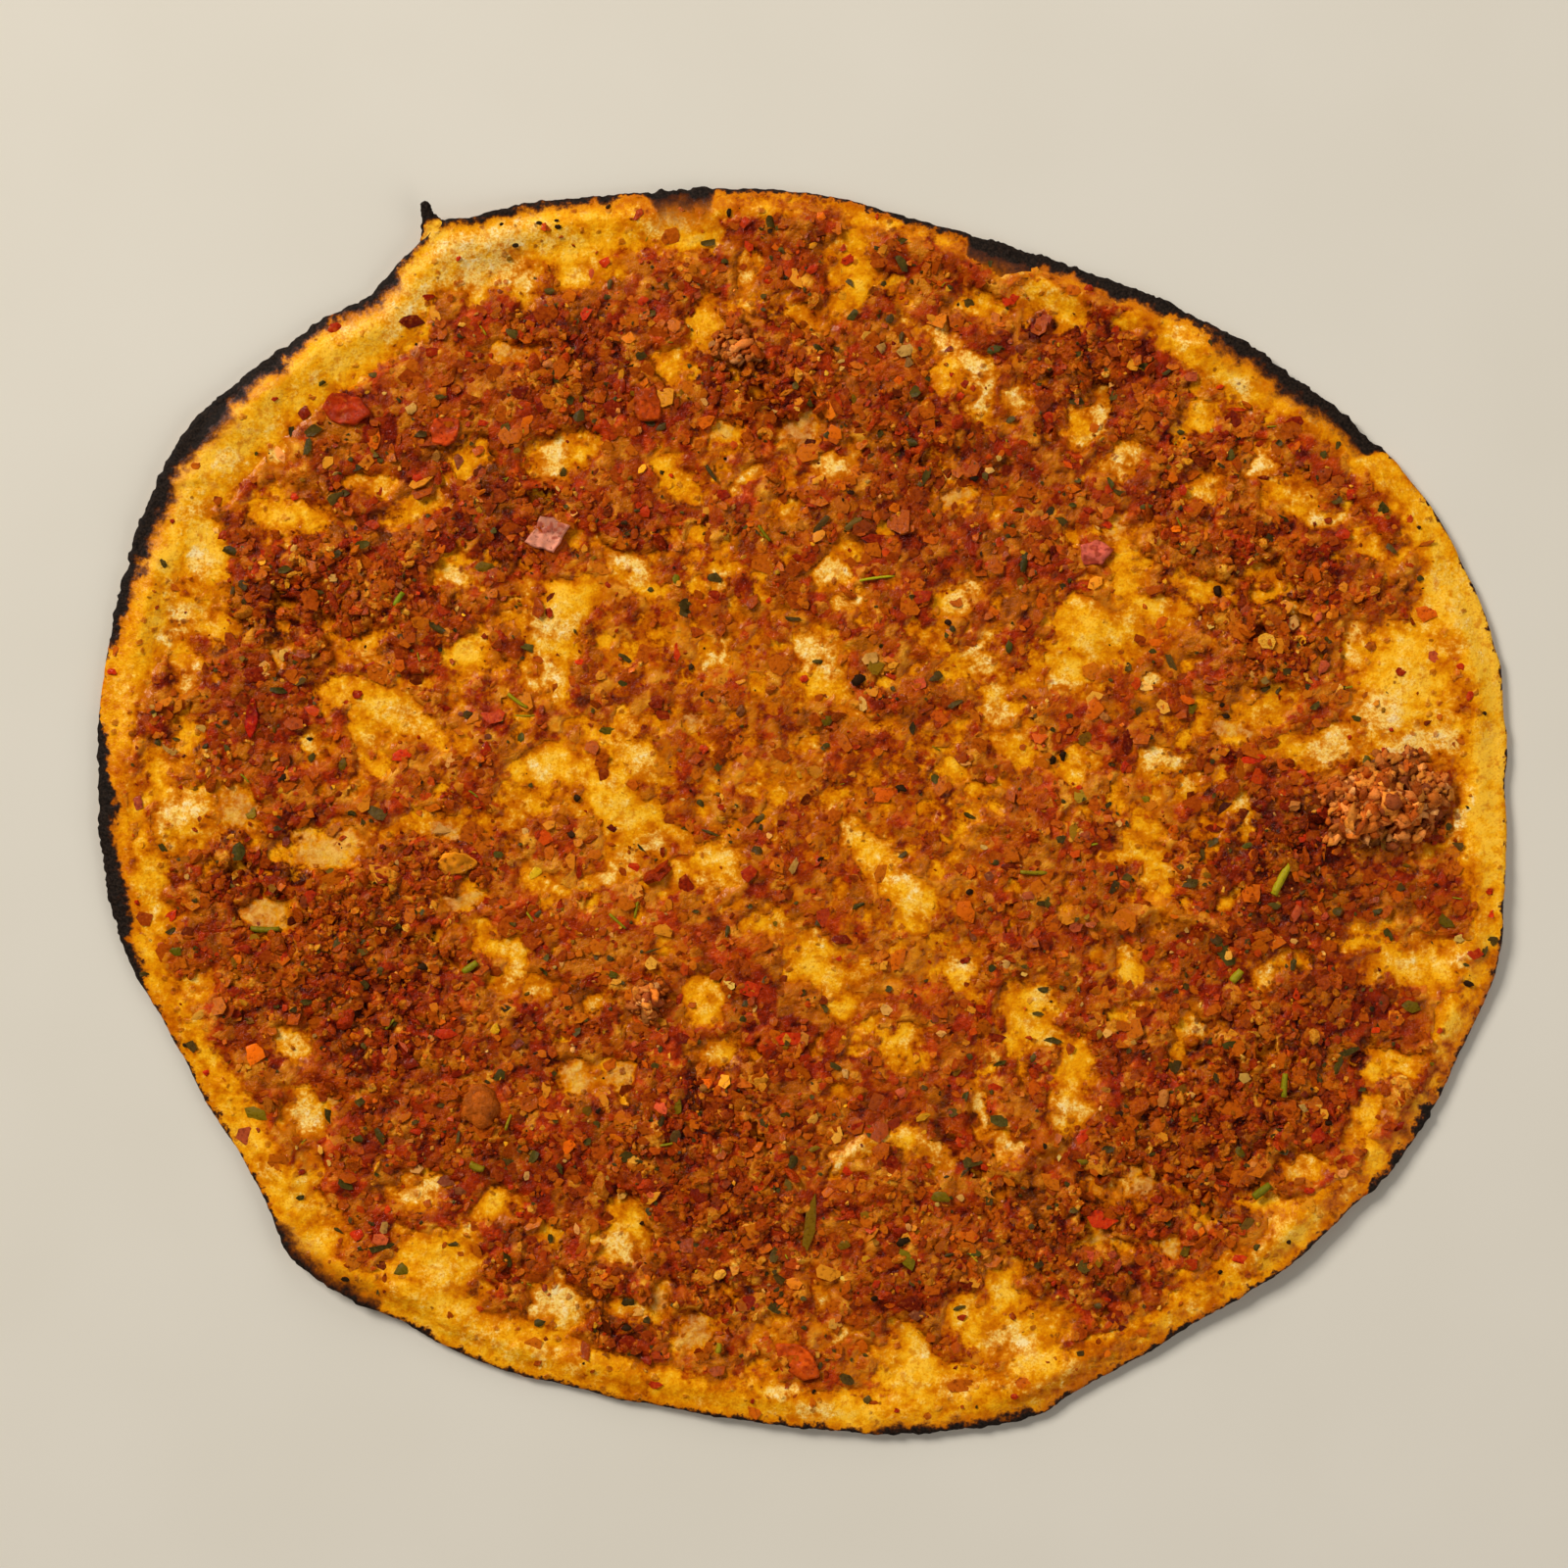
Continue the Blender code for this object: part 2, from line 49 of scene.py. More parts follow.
# ------------------------------------------------------------ sizes, as built
EDGE_RADII = np.array((158.0, 160.0, 154.0, 146.5, 139.0, 136.0,
                       140.0, 145.0, 154.0, 156.0, 163.5, 161.0,
                       158.5, 153.5, 148.0, 150.0, 142.5, 137.0,
                       138.0, 143.0, 143.5, 148.0, 155.0, 159.5))
EDGE_FEATURES = ((28.0, 9.0, 1.6), (121.5, 2.5, 1.6), (129.5, 5.0, -2.6),
                 (146.0, 5.0, 1.0), (189.0, 6.0, 1.5), (200.0, 6.0, -1.2),
                 (220.5, 5.0, 2.0), (231.0, 5.0, -1.8), (291.0, 5.0, 1.6),
                 (308.0, 7.0, -1.3), (323.0, 6.0, -0.9), (341.0, 7.0, -1.3))
RIM_WIDTHS = np.array((10.0, 11.0, 9.0, 12.0, 7.0, 5.0,
                       5.0, 14.0, 14.0, 15.0, 17.0, 13.0,
                       8.0, 8.0, 7.0, 10.0, 13.0, 8.0,
                       10.0, 14.0, 7.0, 10.0, 5.0, 8.0))
# how bright and how pale the bare rim is, every 15 degrees
RIM_GLOW = np.array((5.5, 6.0, 3.0, 2.6, 2.0, 1.0, 0.8, 2.4, 4.4, 4.2, 5.0, 3.0,
                     2.0, 2.0, 3.0, 2.2, 3.4, 1.6, 3.2, 2.4, 1.0, 1.4, 1.0, 1.4))
RIM_PALE = np.array((0.25, 0.35, 0.05, 0.05, 0.0, 0.05, 0.25, 0.60, 1.00, 0.40, 0.50, 0.30,
                     0.25, 0.10, 0.10, 0.05, 0.10, 0.10, 0.30, 0.10, 0.0, 0.0, 0.0, 0.05))
BREAD_THICK, EDGE_THICK = 2.7, 1.9
RIM_PUFF, RIM_PUFF_AT, RIM_PUFF_WIDTH = 1.3, 0.955, 0.030
LIFT_START, LIFT_BASE = 0.86, 0.9
LIFTS = ((121.5, 9.0, 3.0), (222.0, 14.0, 2.2), (35.0, 16.0, 0.9),
         (150.0, 18.0, 1.2), (178.0, 12.0, 0.8), (318.0, 16.0, 1.6),
         (268.0, 14.0, 0.7), (80.0, 12.0, 0.8), (352.0, 9.0, 1.4))
BLISTERS = ((48.0, -70.0, 17.0, 2.0), (20.0, -78.0, 14.0, 1.5),
            (136.0, 24.0, 20.0, 1.6), (-138.0, 2.0, 15.0, 1.1),
            (66.0, 44.0, 18.0, 1.1), (26.0, -20.0, 16.0, 1.2),
            (-40.0, 10.0, 22.0, 1.2), (-84.0, -102.0, 18.0, 1.4),
            (46.0, -124.0, 16.0, 1.3), (36.0, 98.0, 17.0, 1.3),
            (-118.0, 104.0, 16.0, 1.2), (92.0, 102.0, 15.0, 1.2),
            (-56.0, 46.0, 14.0, 0.9), (104.0, -94.0, 14.0, 1.0))
WRINKLES = ((((40.0, -2.0), (48.0, -1.5), (57.0, -4.5)), 1.1, 2.0),
            (((59.0, -22.0), (70.0, -24.5), (80.0, -20.5), (88.0, -23.0),
              (95.0, -25.5)), 1.6, 2.0),
            (((8.0, -78.0), (14.0, -72.5), (22.0, -71.5), (29.0, -75.0),
              (34.0, -80.5)), 1.5, 2.2),
            (((37.0, -62.0), (34.5, -70.0), (39.0, -77.5), (48.0, -79.0),
              (54.0, -74.0)), 1.9, 2.4))
HEAPS = ((92.0, -62.0, 24.0, 1.0), (-108.0, -24.0, 22.0, 1.1),
         (-118.0, 50.0, 18.0, 0.9), (104.0, 44.0, 17.0, 1.3),
         (-24.0, -78.0, 24.0, 1.0), (-8.0, 98.0, 18.0, 1.0),
         (124.0, 0.0, 20.0, 1.3), (-62.0, 84.0, 20.0, 0.8),
         (24.0, -108.0, 16.0, 0.9), (64.0, -92.0, 18.0, 0.9),
         (-100.0, -72.0, 18.0, 0.8), (-28.0, 106.0, 12.0, 0.8))

# ------------------------------------------------------- what lies where, px
# Bare places: kind, x, y, half length, half width, turn.  c is pale cream
# dough, y is yellow oily dough, g is a greyish glassy place.
BARE = """
c 285 463 11 13 0|y 380 498 16 10 0|y 312 520 36 13 -30|y 425 510 32 10 38|g 520 362 26 12 -10
c 560 468 18 17 20|c 470 590 17 13 0|y 572 625 33 26 20|c 560 640 20 22 0
y 590 455 15 15 0|y 680 480 16 14 0|c 762 480 20 8 10|c 747 494 6 14 0|g 735 438 16 15 0
g 815 437 15 13 0|c 852 472 28 9 20|y 806 518 20 13 0|c 640 575 28 14 -35|y 650 590 30 16 -10
y 740 577 12 16 -15|c 740 590 9 10 0|c 845 582 14 15 0|y 862 556 14 10 0|c 762 272 10 20 0
c 758 310 14 11 0|y 820 318 24 9 0|y 718 330 14 24 0|y 690 372 16 11 20|c 958 344 24 12 -25
c 975 362 26 10 -20|c 990 378 20 12 -35|c 1004 398 12 28 5|c 1040 410 9 17 0|c 965 485 9 20 0
g 985 505 10 13 0|y 1015 515 11 10 0|c 975 604 22 17 0|c 870 612 15 11 0|y 866 252 24 13 15
y 1008 314 26 11 0|y 1160 326 17 11 0|y 1208 340 32 14 -15|c 1205 338 16 7 -15|y 1262 385 36 20 -48
c 1268 392 16 9 -40|y 1228 420 20 13 0|c 1125 424 17 18 20|c 1142 474 24 12 12|y 1228 500 15 19 0
c 1288 480 13 20 -20|y 1318 504 26 9 -8|c 1348 524 22 10 0|g 1140 545 18 6 0|y 1150 596 13 22 0
c 195 686 18 13 15|g 290 667 8 13 0|c 380 672 22 6 12|y 398 728 62 20 -28|y 370 745 20 14 0
y 478 672 24 26 0|c 555 690 17 18 0|y 560 660 20 36 0|y 560 782 36 17 8|c 555 785 22 9 10
c 318 770 14 10 0|g 366 778 6 14 0|y 382 785 10 12 0|c 188 825 34 20 5|c 190 815 20 12 20
g 238 826 20 20 0|y 190 850 30 12 0|g 330 862 42 16 0|y 440 838 34 15 10|g 450 845 16 14 30
g 272 930 22 10 0|g 478 918 22 10 0|c 525 978 20 17 -40|c 515 1000 10 10 0|y 200 1005 20 12 0
y 525 822 17 20 0|c 730 671 29 9 36|c 828 668 20 16 0|y 840 705 24 19 0|c 850 690 12 14 0
y 875 732 26 7 0|c 648 740 12 14 0|c 650 775 28 19 -10|c 640 765 18 12 0|y 612 810 32 22 10
c 622 808 14 12 0|c 628 882 42 13 27|c 655 868 16 10 0|y 682 850 26 12 -20|c 735 872 17 17 0
c 726 905 8 22 -10|y 782 942 18 11 -20|c 785 952 10 5 0|y 828 985 36 18 -38|y 856 1022 24 16 -30
y 880 988 28 9 -10|y 930 915 27 32 0|c 925 893 28 7 -10|c 935 905 12 10 0|y 880 860 26 20 -40
y 838 822 11 20 -50|y 790 812 12 22 0|y 986 985 17 28 0|c 985 975 9 14 0|c 1000 665 14 26 -30
y 965 690 12 18 30|c 1020 716 18 18 0|c 1000 690 14 12 0|y 1035 760 28 12 -35|y 968 790 13 11 0
y 715 1018 23 22 0|c 612 1022 11 10 0|c 1060 1020 20 12 0|y 1050 1025 34 18 0|g 720 802 13 9 0
g 712 730 14 9 0|c 825 755 11 11 0|y 1112 642 31 25 0|y 1110 622 22 15 0|y 1090 680 20 20 0
c 1085 690 9 9 0|y 1180 622 30 18 0|c 1170 700 13 9 0|g 1262 742 17 12 0|c 1370 760 27 18 -10
c 1405 728 34 20 25|c 1440 752 36 13 5|y 1436 700 40 40 0|c 1365 765 30 15 15|c 1388 680 10 22 0|y 1420 690 30 18 0|y 1440 655 34 26 10
c 1390 655 9 14 0|c 1320 632 8 11 0|c 1192 780 17 11 0|y 1190 785 21 13 0|y 1216 808 15 12 0
y 1140 803 8 20 -10|y 1100 778 15 14 0|c 1272 832 9 19 0|y 1148 868 17 15 0|y 1180 892 15 30 0
y 1400 955 24 10 0|y 1445 985 52 16 0|c 1435 985 30 9 5|c 1490 990 14 8 0|y 1155 988 18 20 0
c 1150 975 9 9 0|c 1290 985 13 10 0|c 1484 838 7 28 -28|y 1460 862 20 8 20|c 300 1066 15 20 0
c 310 1138 18 22 20|c 427 1220 23 14 0|y 505 1236 18 13 0|c 562 1325 17 22 0|g 340 1125 10 8 0
g 628 1100 12 15 0|y 640 1250 12 24 20|c 627 1275 17 19 20|g 680 1322 10 20 0|g 708 1366 20 15 20
y 742 1320 10 11 0|y 788 1362 24 8 0|c 838 1330 7 22 0|y 782 1412 30 17 -10|c 795 1415 18 10 0
c 862 1365 13 7 0|y 932 1378 30 22 0|c 940 1375 18 12 0|y 1016 1322 22 22 0|c 1030 1365 40 12 -5
y 1040 1360 44 20 0|y 925 1075 22 14 0|c 1035 1180 26 11 -8|c 1020 1165 14 8 0|c 905 1158 34 10 4
c 945 1172 24 9 -38|c 868 1180 18 9 50|y 725 1080 20 9 0|y 1095 1108 18 40 0|c 1088 1128 10 14 0
y 1207 1062 8 26 0|c 1222 1048 16 6 0|y 1422 1086 28 12 0|y 1390 1140 16 22 -20|y 1330 1188 22 13 0
c 1140 1216 26 7 -16|g 1160 1205 15 9 0|g 1125 1265 15 9 0|g 1186 1266 12 9 0|y 1302 1235 38 13 -8
y 1266 1302 26 12 10|y 1195 1334 44 12 12|y 1135 1360 15 11 0|y 440 1290 44 26 0|y 478 1262 14 14 0
y 335 372 26 18 10|y 420 300 30 18 20|c 525 285 26 14 10|y 1470 615 26 44 -30|y 155 930 20 36 0
y 205 555 26 44 20|c 205 575 13 22 10|y 215 480 24 30 35|c 226 468 12 18 30|y 160 800 14 36 0
c 163 830 11 20 0|y 150 900 14 44 0|c 180 650 14 10 0|y 1425 505 40 14 -35|c 200 620 24 16 0|y 215 640 22 16 0|y 1068 300 30 16 -12|y 700 235 40 16 0
y 1150 630 26 14 20|y 915 1052 30 9 -15|c 930 1062 14 8 -10|y 510 965 34 13 -42|c 998 1130 7 26 10
c 577 1330 22 20 0|y 450 1330 34 22 0|y 1450 985 52 22 0|y 935 1402 40 30 0|y 1056 1395 26 26 0
y 1288 718 24 14 0|y 1290 598 26 7 -35|y 872 285 15 26 -20|y 285 525 30 20 0|y 487 668 14 30 0
y 915 222 50 11 -10|y 785 208 28 9 0|y 700 890 30 12 25|y 905 885 24 20 -45|y 640 830 30 26 0
y 140 890 14 48 0|y 298 1245 24 28 0|y 1055 1052 28 24 0|y 1478 735 18 32 0|y 500 281 20 12 0|y 1398 1188 16 18 0
y 1324 1262 22 12 0|y 965 385 16 14 0|y 964 650 12 18 0|y 192 672 14 14 0|y 1400 560 34 10 -40
c 505 272 34 17 0|y 300 1222 18 36 -20|y 1090 312 20 16 0|y 1098 440 14 16 0|y 335 712 20 14 0|y 375 655 22 9 0
y 133 925 10 30 0|y 185 600 14 28 0|y 190 760 14 18 0|c 1456 756 34 15 0|y 1485 1040 18 22 0|y 1336 1248 20 13 0
y 988 1344 22 20 0|y 640 1332 22 13 0|g 588 1108 20 20 0|y 549 1008 15 12 0|y 480 462 20 14 0|y 628 864 16 12 0
y 928 1172 14 10 0|y 1150 560 14 18 0|y 1006 800 16 8 20|y 1170 840 12 14 0|y 560 905 22 9 -20|y 700 500 16 10 0
c 498 284 44 20 -12|y 590 282 34 16 0|y 319 1258 28 34 20|y 1319 1266 32 18 -30|c 1444 763 44 20 0
y 133 823 12 26 0|y 1500 870 12 30 0|y 1500 680 14 40 0
y 1230 605 24 9 -20|y 1140 655 20 22 30|y 620 745 30 10 20|y 1330 760 34 16 0|y 1185 920 10 20 0
"""
# Shade of the mince: x, y, radius, change (below 0 darker, above 0 lighter).
TONES = """
620 960 110 .06|860 1150 110 .06|880 1300 90 .05|300 1230 60 .10|640 1330 60 .05|1300 1000 100 .05
1180 1120 90 .04|1440 1130 70 .05|1400 620 60 .08|1340 700 60 .08|600 375 75 -.12|770 380 60 -.15|500 520 50 -.16|320 610 75 -.15|330 960 80 -.13|380 1040 70 -.13
920 425 50 -.14|1300 600 60 -.15|1340 840 50 -.20|1300 880 50 -.12|978 1150 26 -.26|730 1180 70 -.13
900 1320 34 -.24|1150 1150 50 -.12|1350 1030 80 -.13|640 1365 34 -.18|1420 1060 50 -.08|1120 380 60 -.14
560 1190 60 -.10|1190 500 60 -.08|640 520 50 -.10|1260 770 60 -.08|1250 850 60 -.10|880 1250 80 -.08
1240 1120 80 -.08|250 880 60 -.08|180 770 40 -.08|700 560 80 .00|800 620 80 .00|640 700 90 -.01
760 900 90 .01|900 760 80 -.01|1060 880 80 .01|900 1020 80 .02|450 720 80 -.01|560 900 70 .01
1020 1250 60 .03|1200 700 60 .00|1420 700 70 .08|850 500 60 -.02|1290 920 40 -.12|560 330 50 -.10
450 480 70 -.05|1380 900 40 -.12|1450 900 40 .02|700 330 40 .04|1000 560 60 -.01|990 900 40 .02
"""
# Where the spread is so thin that the dough shows through: x, y, radius, how much.
THIN = """
640 720 120 .75|600 830 90 .6|880 860 110 .7|960 930 80 .6|900 1000 80 .6|800 650 110 .55|1060 660 100 .6
1150 700 90 .5|1180 880 90 .55|450 720 90 .6|380 800 70 .5|760 480 80 .4|680 620 90 .5|730 900 90 .5
520 960 60 .4|1180 1010 60 .4|1060 1120 70 .45|1290 420 70 .4|1050 350 70 .4|860 300 60 .4|600 1280 60 .4
500 1270 60 .5|1030 1330 90 .5|860 1390 70 .5|1200 1290 80 .5|300 640 70 .4|230 820 70 .5|1400 990 70 .5
990 780 80 .45|820 760 90 .45|560 620 80 .5|1380 560 60 .4|1230 640 60 .4|700 1020 70 .5|1230 800 70 .4
"""
# Where the mince is crumbly and stands proud: x, y, radius, how much.
COARSE = """
600 380 70 .8|790 370 70 1|560 540 50 .6|310 600 80 1|410 590 60 .6|330 950 90 1|390 1020 70 1
440 880 50 .8|1300 600 70 1|1300 680 40 .6|1260 620 40 .8|700 1150 90 .9|770 1250 60 .9|620 1350 50 1
1240 1130 90 1|1150 1230 80 .9|1330 1060 70 .7|960 1300 60 .6|1120 380 70 .8|720 1330 40 .9|430 1130 80 .5
520 1290 50 .6|1220 480 60 .6|940 440 50 .8|1320 860 60 1|1200 870 60 .4|1060 1280 60 .5|540 350 40 .8
1430 600 50 .5|1010 990 60 .5|1420 1110 40 .6|1180 560 60 .5|900 1210 60 .4|230 870 50 .6|180 760 40 .5
"""
# The burnt edge: from, to (degrees), black band, brown halo behind it, mm.
CHAR = ((54.0, 73.5, 2.5, 1.6), (67.0, 73.8, 3.4, 4.4), (32.6, 49.5, 3.3, 2.4),
        (49.0, 54.5, 1.6, 1.2), (73.0, 81.0, 0.9, 1.0), (81.0, 98.0, 0.5, 0.9),
        (98.6, 103.8, 2.4, 5.0), (104.0, 107.0, 0.6, 0.9), (107.0, 121.8, 1.3, 1.4),
        (121.8, 127.0, 0.5, 1.2), (127.0, 133.0, 1.8, 2.2), (133.0, 140.0, 1.8, 1.5),
        (139.0, 158.0, 3.0, 2.0), (144.5, 149.0, 4.0, 2.8), (157.0, 163.8, 2.8, 1.7),
        (163.0, 166.2, 1.4, 1.2), (172.8, 178.0, 1.8, 1.0), (177.5, 190.0, 3.2, 1.3),
        (189.5, 193.8, 1.8, 1.2), (194.0, 218.0, 0.35, 0.7), (218.0, 229.0, 1.1, 3.0),
        (229.0, 262.0, 0.3, 0.8), (262.0, 277.0, 0.7, 0.9), (276.0, 291.0, 1.3, 1.6),
        (291.0, 312.0, 0.55, 0.8), (312.0, 326.0, 0.35, 0.8), (326.5, 330.5, 1.6, 0.9),
        (333.0, 335.2, 1.8, 0.8), (330.0, 333.5, 0.7, 0.8), (336.0, 350.0, 0.25, 0.9),
        (350.0, 392.6, 0.0, 0.4), (166.2, 172.8, 0.0, 0.3))

